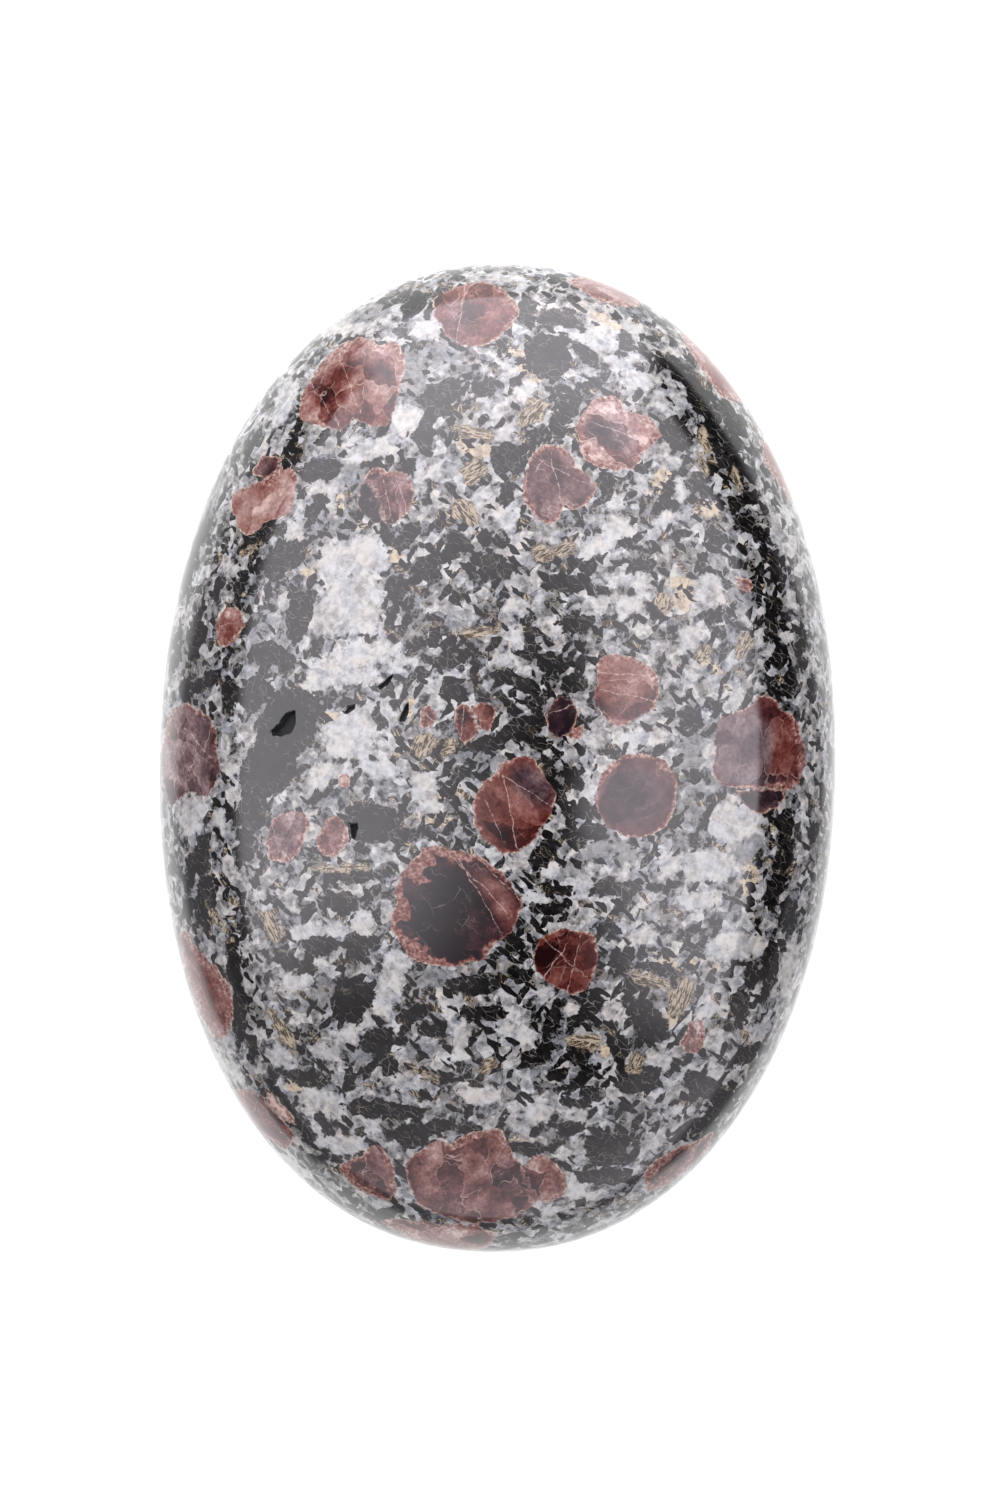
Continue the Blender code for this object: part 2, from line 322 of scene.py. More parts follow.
# The larger grains and clots between the crystals: middle across and along, length and width in
# tenths of a millimetre, and the turn of the long way from +X in degrees.
PATCHES: dict[Grain, tuple[tuple[float, ...], ...]] = {
    Grain.DARK: (
        (-50, 275, 18, 10, 45), (-33, 221, 28, 14, 20), (-9, 223, 16, 10, 20), (-32, 212, 14, 8, 0),
        (-43, 202, 22, 8, 60), (-44, 193, 16, 10, 60), (-54, 177, 12, 8, 30), (-108, 174, 22, 13, 15),
        (-124, 192, 16, 5, 68), (-115, 173, 12, 5, 60), (-109, 152, 18, 9, 60), (-145, 132, 30, 9, 40),
        (-134, 139, 14, 7, 20), (-128, 122, 26, 16, 30), (-134, 112, 16, 8, 0), (-55, 134, 19, 10, 60),
        (-67, 135, 12, 6, -70), (-33, 122, 34, 8, 25), (-46, 110, 24, 7, 40), (-22, 132, 14, 9, -20),
        (-6, 134, 12, 10, 0), (-2, 116, 18, 16, 0), (-62, 102, 16, 12, 80), (-34, 146, 14, 6, 80),
        (-169, 104, 16, 5, 75), (-156, 104, 16, 5, 70), (18, 271, 19, 11, 80), (38, 267, 24, 11, -5),
        (55, 244, 19, 8, -38), (31, 243, 27, 25, 0), (79, 252, 11, 9, -45), (90, 248, 9, 5, -40),
        (113, 233, 24, 10, -35), (122, 223, 18, 11, -50), (123, 214, 16, 8, -50),
        (133, 210, 10, 9, -50), (143, 206, 26, 10, -45), (130, 195, 20, 13, -60),
        (140, 186, 32, 15, -70), (154, 173, 13, 6, -70), (155, 158, 11, 10, 0), (146, 155, 10, 6, 0),
        (152, 142, 18, 9, -35), (161, 134, 20, 8, -50), (165, 123, 18, 7, -60), (170, 114, 14, 6, -60),
        (109, 197, 20, 15, -60), (42, 209, 38, 11, 62), (55, 226, 18, 6, 25), (23, 196, 12, 8, 0),
        (8, 182, 22, 19, 0), (6, 162, 16, 9, 90), (66, 169, 11, 10, 0), (63, 156, 17, 6, 45),
        (82, 161, 9, 5, 60), (124, 163, 16, 7, -30), (134, 133, 15, 9, -15), (111, 136, 10, 6, 0),
        (54, 117, 14, 8, 0), (89, 116, 12, 7, 0), (41, 106, 26, 10, -5), (3, 113, 11, 10, 0),
        (63, 102, 10, 6, 0), (-120, 86, 32, 14, 75), (-138, 63, 20, 15, 0), (-126, 22, 42, 34, 70),
        (-146, 39, 22, 16, 60), (-138, -6, 36, 30, 60), (-148, -29, 32, 16, 80), (-153, -54, 22, 9, 95),
        (-76, -40, 34, 23, -10), (-58, -49, 16, 10, 30), (-94, -88, 20, 13, -10), (-88, -72, 34, 9, 0),
        (-26, 61, 30, 9, 10), (-26, 42, 14, 13, 0), (-28, 6, 22, 9, 15), (-4, 8, 24, 9, 15),
        (-20, -9, 16, 6, 40), (-30, 69, 9, 6, 0), (-44, 70, 18, 5, 20), (-64, 86, 20, 7, 80),
        (-46, 49, 10, 7, 80), (-62, 32, 8, 6, 0), (-72, 24, 16, 7, -70), (-162, 36, 22, 10, 85),
        (-187, 110, 34, 6, 76), (-195, 66, 26, 5, 82), (-189, 42, 16, 6, 80), (-180, 132, 26, 5, 70),
        (44, -226, 18, 9, 20), (-182, 74, 26, 10, 85), (-176, 46, 18, 8, 30), (-179, -60, 24, 10, 88),
        (-176, -86, 26, 11, 95), (-186, -70, 20, 7, 85), (20, 74, 23, 6, 88), (50, 82, 20, 9, 0),
        (97, 90, 14, 9, 80), (18, 64, 12, 7, 0), (34, 58, 16, 10, 0), (52, 57, 10, 8, 90),
        (48, 45, 14, 9, 0), (14, 46, 34, 9, -20), (22, 34, 14, 8, -20), (16, 18, 26, 12, 20),
        (26, 8, 18, 8, 0), (39, -26, 38, 8, -62), (46, -12, 16, 10, -60), (33, -7, 16, 6, -60),
        (52, -32, 14, 8, 70), (59, -44, 13, 10, 0), (29, -58, 22, 11, 60), (36, -80, 26, 6, 0),
        (32, -92, 26, 7, -5), (70, -79, 30, 8, 5), (96, -78, 12, 7, 0), (119, 24, 16, 13, 80),
        (133, 86, 18, 8, 0), (167, 86, 24, 10, 85), (171, 62, 22, 9, 80), (179, 46, 16, 7, 80),
        (176, -39, 16, 10, 50), (175, -56, 32, 11, 85), (169, -80, 24, 10, 80), (177, -96, 22, 10, 85),
        (186, 68, 26, 7, 80), (-159, -126, 42, 7, 96), (-156, -156, 34, 9, 90), (-148, -176, 14, 7, 95),
        (-124, -125, 30, 8, -15), (-109, -114, 22, 11, 0), (-86, -116, 18, 14, 80),
        (-88, -148, 28, 22, 60), (-72, -172, 18, 15, 0), (-68, -182, 24, 9, -60),
        (-50, -156, 28, 9, 20), (-39, -164, 16, 10, 0), (-118, -194, 28, 7, -8), (-76, -212, 32, 10, 0),
        (-56, -216, 24, 8, 0), (-44, -226, 50, 8, 8), (-50, -233, 24, 7, 0), (-116, -226, 18, 8, -60),
        (-126, -213, 26, 7, -52), (-104, -224, 16, 6, -60), (-14, -138, 34, 12, 8),
        (-8, -155, 24, 9, 0), (-90, -266, 14, 6, -30), (-63, -275, 22, 6, 20), (12, -114, 26, 7, -50),
        (14, -132, 14, 9, 0), (78, -123, 16, 10, 60), (96, -128, 28, 6, -15), (92, -159, 34, 17, -48),
        (56, -154, 26, 8, 30), (34, -158, 32, 8, 70), (49, -179, 15, 13, 0), (22, -182, 20, 10, 30),
        (37, -193, 14, 8, 0), (50, -196, 24, 8, 40), (86, -195, 28, 18, 0), (75, -176, 18, 9, 85),
        (128, -201, 32, 13, -30), (132, -216, 32, 8, 38), (68, -238, 24, 18, 0), (19, -237, 26, 7, -5),
        (66, -254, 32, 9, 0), (166, -125, 38, 10, 80), (155, -133, 16, 9, 80), (149, -152, 19, 9, 85),
        (149, -182, 20, 7, 35), (49, -210, 18, 6, 0), (114, -226, 24, 6, 35), (-188, -94, 14, 6, 85),
    ),
    Grain.PALE: (
        (26, 265, 9, 5, 80), (58, 234, 15, 8, -10), (17, 222, 16, 10, 0), (47, 257, 12, 6, -25),
        (60, 268, 16, 7, -30), (-67, 284, 22, 5, 20), (83, 262, 18, 5, -25), (-6, 235, 9, 7, 0),
        (84, 243, 12, 7, -20), (-92, 266, 36, 9, 32), (-82, 263, 34, 10, 10), (-129, 216, 34, 12, 65),
        (-42, 259, 17, 11, 20), (-55, 206, 22, 17, 0), (-74, 188, 36, 13, 20), (-89, 192, 14, 7, 0),
        (-47, 171, 17, 8, 90), (-102, 159, 19, 10, 90), (-86, 122, 44, 24, 0), (-86, 102, 38, 18, 0),
        (-123, 138, 16, 13, 0), (-10, 156, 19, 9, 90), (-159, 113, 18, 10, -20), (64, 254, 22, 18, 0),
        (5, 291, 32, 6, -5), (4, 240, 11, 9, 0), (74, 238, 26, 9, -30), (86, 229, 22, 13, 0),
        (108, 223, 17, 7, -55), (102, 215, 8, 8, 0), (129, 204, 13, 5, -40), (5, 147, 13, 12, 0),
        (4, 196, 12, 10, 0), (74, 156, 22, 9, 50), (86, 164, 17, 10, 50), (72, 139, 19, 15, 0),
        (61, 129, 18, 11, 0), (106, 179, 18, 8, 0), (113, 163, 16, 10, 85), (109, 146, 32, 7, 20),
        (128, 102, 19, 19, 0), (84, 108, 34, 9, 0), (-94, 86, 50, 24, 0), (-80, 62, 42, 15, 10),
        (-104, 50, 34, 16, 20), (-84, 49, 30, 10, 0), (-78, 22, 46, 22, 22), (-88, 7, 32, 18, 0),
        (-98, -8, 32, 11, 0), (-72, -7, 18, 12, 0), (-110, -14, 15, 10, 0), (-44, -18, 18, 17, 0),
        (-39, -30, 14, 10, 0), (-61, 56, 18, 10, 40), (-163, 99, 12, 8, 90), (-192, 88, 22, 7, 80),
        (-194, 48, 18, 7, 82), (-186, -35, 24, 18, 80), (-169, -38, 13, 10, 90), (-161, -6, 13, 11, 0),
        (-136, -21, 12, 8, 45), (12, 91, 19, 14, 0), (36, 79, 13, 10, 90), (13, 72, 20, 7, 88),
        (7, 58, 17, 9, 0), (62, 94, 15, 10, 0), (79, 92, 19, 15, 0), (118, 73, 17, 14, 80),
        (90, 13, 34, 9, 0), (60, 10, 14, 9, 0), (56, 49, 12, 9, 85), (144, -39, 32, 24, 0),
        (129, -66, 36, 20, 0), (122, -86, 24, 12, 0), (106, -65, 20, 12, 0), (55, -20, 19, 10, 85),
        (53, -79, 15, 14, 0), (30, -69, 14, 10, 0), (21, -87, 12, 9, 90), (-114, -106, 26, 12, 10),
        (-96, -104, 17, 10, 0), (-80, -100, 17, 13, 90), (-122, -137, 26, 10, 10),
        (-62, -128, 26, 16, 60), (-66, -146, 26, 14, 60), (-59, -160, 17, 9, 40),
        (-89, -168, 18, 10, 10), (-148, -168, 15, 10, 0), (-130, -182, 20, 14, -30),
        (-103, -179, 24, 11, 0), (-110, -208, 22, 11, 0), (-96, -212, 15, 13, -60),
        (-110, -229, 16, 10, -60), (-92, -235, 24, 14, 0), (-22, -172, 32, 10, 82),
        (-56, -196, 19, 12, 0), (-9, -206, 26, 10, 0), (-36, -149, 24, 6, -5),
        (-162, -187, 24, 10, -50), (89, -108, 19, 14, 0), (145, -115, 40, 17, 5),
        (128, -153, 26, 10, 15), (30, -144, 16, 10, 0), (70, -153, 13, 13, 0), (4, -162, 11, 10, 0),
        (17, -170, 13, 10, 0), (99, -184, 15, 14, 0), (64, -184, 15, 12, 0), (25, -215, 18, 13, 0),
        (49, -219, 16, 11, 50), (49, -234, 18, 10, 110), (11, -216, 10, 9, 0), (106, -216, 13, 9, 0),
        (92, -235, 16, 11, 40), (49, -263, 15, 10, 0), (178, -126, 42, 11, 76), (144, -188, 11, 8, 0),
        (116, -192, 14, 12, 0), (133, -189, 11, 10, 0), (36, -275, 22, 6, 10), (-124, -249, 24, 9, -45),
        (160, -166, 20, 10, 60),
    ),
    Grain.GREY: (
        (-36, 245, 20, 12, -20), (-50, 232, 34, 12, 92), (-100, 140, 30, 12, 0), (-79, 269, 24, 9, 15),
        (-86, 169, 14, 18, 0), (70, -58, 28, 15, 0), (-39, -133, 26, 13, 0), (-111, -149, 16, 13, 0),
        (-104, -139, 16, 9, 80), (-46, -179, 18, 14, 0), (-143, 76, 18, 10, 70), (118, 4, 22, 14, 80),
        (119, -28, 24, 14, 80), (154, -56, 20, 14, 40), (-108, -26, 22, 10, 0), (86, -213, 16, 10, 80),
        (150, 98, 20, 14, 0), (-176, 156, 50, 12, 66), (-190, 66, 26, 9, 82), (-86, -180, 18, 12, 0),
        (-15, 2, 32, 14, -30),
    ),
    Grain.GOLD: (
        (-16, 197, 24, 8, -12), (-14, 174, 18, 13, 35), (-19, 149, 18, 13, -50), (-150, 125, 18, 5, 40),
        (127, 191, 17, 5, -70), (125, 178, 15, 6, -60), (146, 170, 14, 5, -72), (22, 210, 24, 12, 55),
        (27, 124, 12, 10, 30), (-10, 77, 22, 7, 5), (-136, -102, 26, 10, -60), (-130, -166, 30, 8, -58),
        (96, -136, 28, 8, -18), (112, -146, 24, 13, 75), (53, -172, 22, 9, -10), (-7, -188, 12, 7, 30),
        (-42, -194, 16, 6, -20), (150, 68, 16, 9, 60), (-12, 213, 10, 4, 50), (41, 127, 14, 9, 30),
        (102, 94, 12, 12, 70), (-44, 9, 18, 12, 60), (-28, 6, 14, 7, 60), (-169, -100, 22, 4, -55),
        (85, -186, 14, 10, 70), (-92, -67, 30, 5, 5), (126, 64, 10, 7, 60),
    ),
    Grain.TAN: (
        (15, 243, 9, 5, -60), (23, 231, 12, 4, -30), (20, 255, 5, 3, 0), (-15, 188, 22, 8, -15),
        (-32, 149, 9, 6, 0), (12, 246, 9, 7, -40), (17, 236, 14, 7, -50), (99, 169, 15, 9, 60),
        (102, 158, 10, 9, 0), (127, 150, 16, 9, 0), (113, 106, 14, 10, -10), (113, 96, 16, 12, 60),
        (136, 52, 7, 4, -30), (127, 59, 8, 5, 70), (153, -74, 22, 9, 75), (104, -124, 13, 6, -30),
        (133, -126, 9, 6, 0), (121, -124, 7, 4, 0), (107, -159, 14, 9, 20), (66, -177, 9, 8, 0),
        (14, -232, 19, 3.5, -8), (-124, -199, 11, 9, 0), (-37, -38, 22, 6, -5), (-53, 31, 10, 5, 85),
        (-103, 24, 14, 6, 20), (-29, -23, 14, 7, 0), (-62, 123, 10, 8, -30), (-114, 113, 9, 5, 0),
        (-96, 154, 4, 12, 0), (64, 267, 16, 5, -30),
    ),
}


@dataclass(frozen=True)
class Pit:
    """An open pit where a grain has fallen out.

    Attributes:
        depth: How far it goes in, in millimetres.
        outline: Its corners as seen from above, in millimetres from the middle of the stone.
    """

    depth: float
    outline: Outline


PITS: tuple[Pit, ...] = (
    Pit(0.55, tenths(
        -122.5, 28, -128.5, 27, -132, 20.5, -137.5, 16, -136.5, 13.5, -130.5, 13.5, -124.5, 15.5,
        -122.5, 22)),
    Pit(0.4, tenths(
        -90, -40, -84.5, -40, -84.5, -43, -86.5, -50, -89, -49.5, -88.5, -43.5)),
    Pit(0.4, tenths(
        -53.5, 34.5, -56, 31, -59.5, 24.5, -59.5, 21.5, -56, 22, -53, 29)),
    Pit(0.35, tenths(
        -72.5, 42.5, -68, 47.5, -63.5, 50.5, -63.5, 48, -67, 44, -71, 41)),
    Pit(0.25, tenths(
        -93.5, 27.5, -89.5, 31, -86, 32, -86.5, 29.5, -91, 26)),
)


def step_between(value: np.ndarray, low: float, high: float) -> np.ndarray:
    """Runs smoothly from 0 at low to 1 at high.

    Args:
        value: The values to grade.
        low: Where the grade is 0.
        high: Where it is 1.

    Returns:
        The grades.
    """
    share = np.clip((value - low) / (high - low), 0.0, 1.0)
    return share * share * (3.0 - 2.0 * share)


def inside_distance(points: np.ndarray, outline: Sequence[Point]) -> np.ndarray:
    """Signed distance to a closed outline, positive inside.

    Args:
        points: Places in the outline's plane, one to a row.
        outline: The outline's corners in order.

    Returns:
        The distance of each place.
    """
    corners = np.asarray(outline, dtype=float)
    nearest = np.full(len(points), np.inf)
    inside = np.zeros(len(points), dtype=bool)
    for start, end in zip(corners, np.roll(corners, -1, axis=0)):
        side = end - start
        out = points - start
        share = np.clip(out @ side / (side @ side), 0.0, 1.0)
        nearest = np.minimum(nearest, np.linalg.norm(out - share[:, None] * side, axis=1))
        straddles = (points[:, 1] < start[1]) != (points[:, 1] < end[1])
        rise = side[1] if side[1] else 1.0
        crossing = start[0] + (points[:, 1] - start[1]) / rise * side[0]
        inside ^= straddles & (points[:, 0] < crossing)
    return np.where(inside, nearest, -nearest)


def oval_distance(points: np.ndarray, length: float, width: float) -> np.ndarray:
    """Signed distance, near enough, to a full oval about the origin, positive inside.

    Args:
        points: Places in the oval's plane, one to a row.
        length: The oval's size along the first axis.
        width: Its size along the second.

    Returns:
        The distance of each place.
    """
    power = 2.6
    reach = np.abs(points[:, 0] / (0.5 * length)) ** power
    reach = reach + np.abs(points[:, 1] / (0.5 * width)) ** power
    return (1.0 - reach ** (1.0 / power)) * 0.5 * min(length, width)


def turned(points: np.ndarray, degrees: float) -> np.ndarray:
    """The places as read along axes that are turned by this angle."""
    turn = math.radians(degrees)
    along = np.array([math.cos(turn), math.sin(turn)])
    across = np.array([-math.sin(turn), math.cos(turn)])
    return np.stack([points @ along, points @ across], axis=1)


@dataclass(frozen=True)
class PhotoCamera:
    """The camera, straight above the stone and turned a little, as the photograph was taken.

    Attributes:
        height: How far it is above the stone's widest level, in metres.
        widest: How far that level is above the table.
        across: How far the picture's middle is to the right of the stone's, in metres.
        along: How far it is above it in the picture.
        turn: How far the camera is turned, in radians.
        sensor: The width of its sensor, in millimetres.
        lens_per_metre: The lens, in millimetres for each metre of height.
    """

    height: float = 0.5
    widest: float = 0.0114
    across: float = 0.00021
    along: float = 0.00046
    turn: float = math.radians(1.235)
    sensor: float = 36.0
    lens_per_metre: float = 395.3

    def axes(self) -> tuple[np.ndarray, np.ndarray]:
        """The directions in the world that are right and up in the picture."""
        right = np.array([math.cos(self.turn), math.sin(self.turn)])
        up = np.array([-math.sin(self.turn), math.cos(self.turn)])
        return right, up

    def place(self) -> np.ndarray:
        """Where the camera is, in metres."""
        right, up = self.axes()
        plan = self.across * right + self.along * up
        return np.array([plan[0], plan[1], self.widest + self.height])

    def plan(self, points: np.ndarray) -> np.ndarray:
        """Where points lie in the picture.

        Args:
            points: Points in the world, in metres, one to a row.

        Returns:
            Millimetres right and up from the middle of the stone, at the scale of its widest level.
        """
        right, up = self.axes()
        place = self.place()
        scale = self.height / (place[2] - points[:, 2])
        out = points[:, :2] - place[:2]
        rightward = (out @ right) * scale + self.across
        upward = (out @ up) * scale + self.along
        return np.stack([rightward, upward], axis=1) / MM

    def build(self) -> None:
        """Makes the camera and gives it the scene."""
        data = bpy.data.cameras.new("photo_camera")
        data.sensor_fit = "AUTO"
        data.sensor_width = self.sensor
        data.lens = self.lens_per_metre * self.height
        data.clip_start = 0.01
        data.clip_end = 50.0
        data.dof.use_dof = False
        camera = bpy.data.objects.new("photo_camera", data)
        camera.location = Vector(self.place())
        camera.rotation_euler = (0.0, 0.0, self.turn)
        bpy.context.scene.collection.objects.link(camera)
        bpy.context.scene.camera = camera


class Sheet:
    """A node tree that is written as sums: each method adds a node and returns what comes out."""

    def __init__(self, tree: bpy.types.NodeTree) -> None:
        """Takes the tree to write in."""
        self.tree = tree

    def feed(self, socket: Socket, value: object) -> None:
        """Links a socket to another, or sets its value."""
        if isinstance(value, Socket):
            self.tree.links.new(value, socket)
        else:
            socket.default_value = value

    def node(self, kind: str, inputs: dict[int | str, object] | None = None,
             **settings: object) -> bpy.types.Node:
        """Adds a node.

        Args:
            kind: The node's type name.
            inputs: What goes into which of its inputs, by place or by name.
            **settings: Its properties.

        Returns:
            The node.
        """
        made = self.tree.nodes.new(kind)
        for name, value in settings.items():
            setattr(made, name, value)
        for name, value in (inputs or {}).items():
            self.feed(made.inputs[name], value)
        return made

    def sum(self, operation: str, *values: object) -> Socket:
        """One step of arithmetic on numbers, by the node's name for it."""
        return self.node("ShaderNodeMath", dict(enumerate(values)), operation=operation).outputs[0]

    def plus(self, first: object, second: object) -> Socket:
        """The two added up."""
        return self.sum("ADD", first, second)

    def minus(self, first: object, second: object) -> Socket:
        """The first less the second."""
        return self.sum("SUBTRACT", first, second)

    def times(self, first: object, second: object) -> Socket:
        """The two multiplied."""
        return self.sum("MULTIPLY", first, second)

    def weighed(self, value: object, weight: object, rest: object) -> Socket:
        """A value times its weight, added to the rest."""
        return self.sum("MULTIPLY_ADD", value, weight, rest)

    def larger(self, first: object, second: object) -> Socket:
        """The larger of the two."""
        return self.sum("MAXIMUM", first, second)

    def unsigned(self, value: object) -> Socket:
        """A value without its sign."""
        return self.sum("ABSOLUTE", value)

    def vector(self, operation: str, *values: object) -> Socket:
        """One step of vector arithmetic, whose result is a vector."""
        made = self.node("ShaderNodeVectorMath", dict(enumerate(values)), operation=operation)
        return made.outputs["Vector"]

    def scaled(self, vector: object, scale: object) -> Socket:
        """A vector times a number."""
        made = self.node("ShaderNodeVectorMath", {0: vector, "Scale": scale}, operation="SCALE")
        return made.outputs["Vector"]

    def parts(self, vector: object) -> tuple[Socket, ...]:
        """A vector's three numbers."""
        return tuple(self.node("ShaderNodeSeparateXYZ", {0: vector}).outputs)

    def split(self, colour: object) -> tuple[Socket, ...]:
        """A colour's three numbers."""
        return tuple(self.node("ShaderNodeSeparateColor", {0: colour}).outputs)

    def grade(self, value: object, low: object, high: object,
              first: object = 0.0, last: object = 1.0) -> Socket:
        """Runs smoothly from first to last as the value goes from low to high.

        Args:
            value: What is graded.
            low: The value where the result is first.
            high: The value where the result is last.
            first: The result at low.
            last: The result at high.

        Returns:
            The result.
        """
        inputs = dict(enumerate((value, low, high, first, last)))
        return self.node("ShaderNodeMapRange", inputs, interpolation_type="SMOOTHSTEP").outputs[0]

    def lerp(self, share: object, first: object, second: object) -> Socket:
        """One number over another by a share."""
        inputs = {0: share, 2: first, 3: second}
        return self.node("ShaderNodeMix", inputs, data_type="FLOAT").outputs[0]

    def choose(self, share: object, first: object, second: object) -> Socket:
        """One vector over another by a share."""
        inputs = {0: share, 4: first, 5: second}
        return self.node("ShaderNodeMix", inputs, data_type="VECTOR").outputs[1]

    def mix(self, share: object, first: object, second: object, blend: str = "MIX") -> Socket:
        """One colour over another by a share."""
        inputs = {0: share, 6: first, 7: second}
        return self.node("ShaderNodeMix", inputs, data_type="RGBA", blend_type=blend).outputs[2]

    def tinted(self, colour: object, tint: object) -> Socket:
        """A colour times a tint."""
        return self.mix(1.0, colour, tint, "MULTIPLY")

    def cloud(self, where: object, scale: float, detail: float = 2.0, roughness: float = 0.5,
              output: str = "Fac") -> Socket:
        """Soft noise from 0 to 1.

        Args:
            where: The place to read it at.
            scale: Lumps to a millimetre.
            detail: How many finer layers lie on it.
            roughness: How strong those are.
            output: "Fac" for one noise, or "Color" for three noises in one.

        Returns:
            The noise.
        """
        inputs = {"Vector": where, "Scale": scale, "Detail": detail, "Roughness": roughness}
        return self.node("ShaderNodeTexNoise", inputs).outputs[output]

    def pushed(self, where: object, stir: object, amount: float) -> Socket:
        """The place, pushed about by three noises in one, in millimetres."""
        centred = self.vector("SUBTRACT", stir, (0.5, 0.5, 0.5))
        return self.vector("ADD", where, self.scaled(centred, amount))

    def ramp(self, value: object, stops: Sequence[tuple[float, Colour]]) -> Socket:
        """The colour that belongs to a value, from values in order, each with its colour."""
        made = self.node("ShaderNodeValToRGB", {0: value})
        band = made.color_ramp.elements
        while len(band) < len(stops):
            band.new(1.0)
        for element, (at, colour) in zip(band, stops):
            element.position = at
            element.color = colour
        return made.outputs[0]

    def cells(self, where: object, scale: float) -> tuple[Socket, tuple[Socket, ...]]:
        """Grains of about even size.

        Args:
            where: The place to read them at.
            scale: Grains to a millimetre.

        Returns:
            The distance from the grain's heart, and three numbers that are drawn anew for each.
        """
        made = self.node("ShaderNodeTexVoronoi", {"Vector": where, "Scale": scale})
        return made.outputs["Distance"], self.split(made.outputs["Color"])

    def seams(self, where: object, scale: float) -> Socket:
        """How far it is to the seam between two grains, in grain sizes."""
        inputs = {"Vector": where, "Scale": scale}
        made = self.node("ShaderNodeTexVoronoi", inputs, feature="DISTANCE_TO_EDGE")
        return made.outputs["Distance"]

    def drawn_out(self, where: object, stretch: tuple[float, float, float],
                  turns: tuple[float, float, float] = (0.0, 0.0, 0.0)) -> Socket:
        """The place, squeezed so that a pattern read at it comes out drawn out.

        Args:
            where: The place.
            stretch: How much longer the pattern is along each of its axes.
            turns: The turn of those axes, in degrees.

        Returns:
            The squeezed place.
        """
        inputs = {"Vector": where, "Rotation": tuple(map(math.radians, turns)), "Scale": stretch}
        return self.node("ShaderNodeMapping", inputs, vector_type="TEXTURE").outputs["Vector"]

    def attribute(self, name: str, output: str = "Fac") -> Socket:
        """Reads an attribute of the mesh: a number, or with "Vector" a vector."""
        return self.node("ShaderNodeAttribute", attribute_name=name).outputs[output]


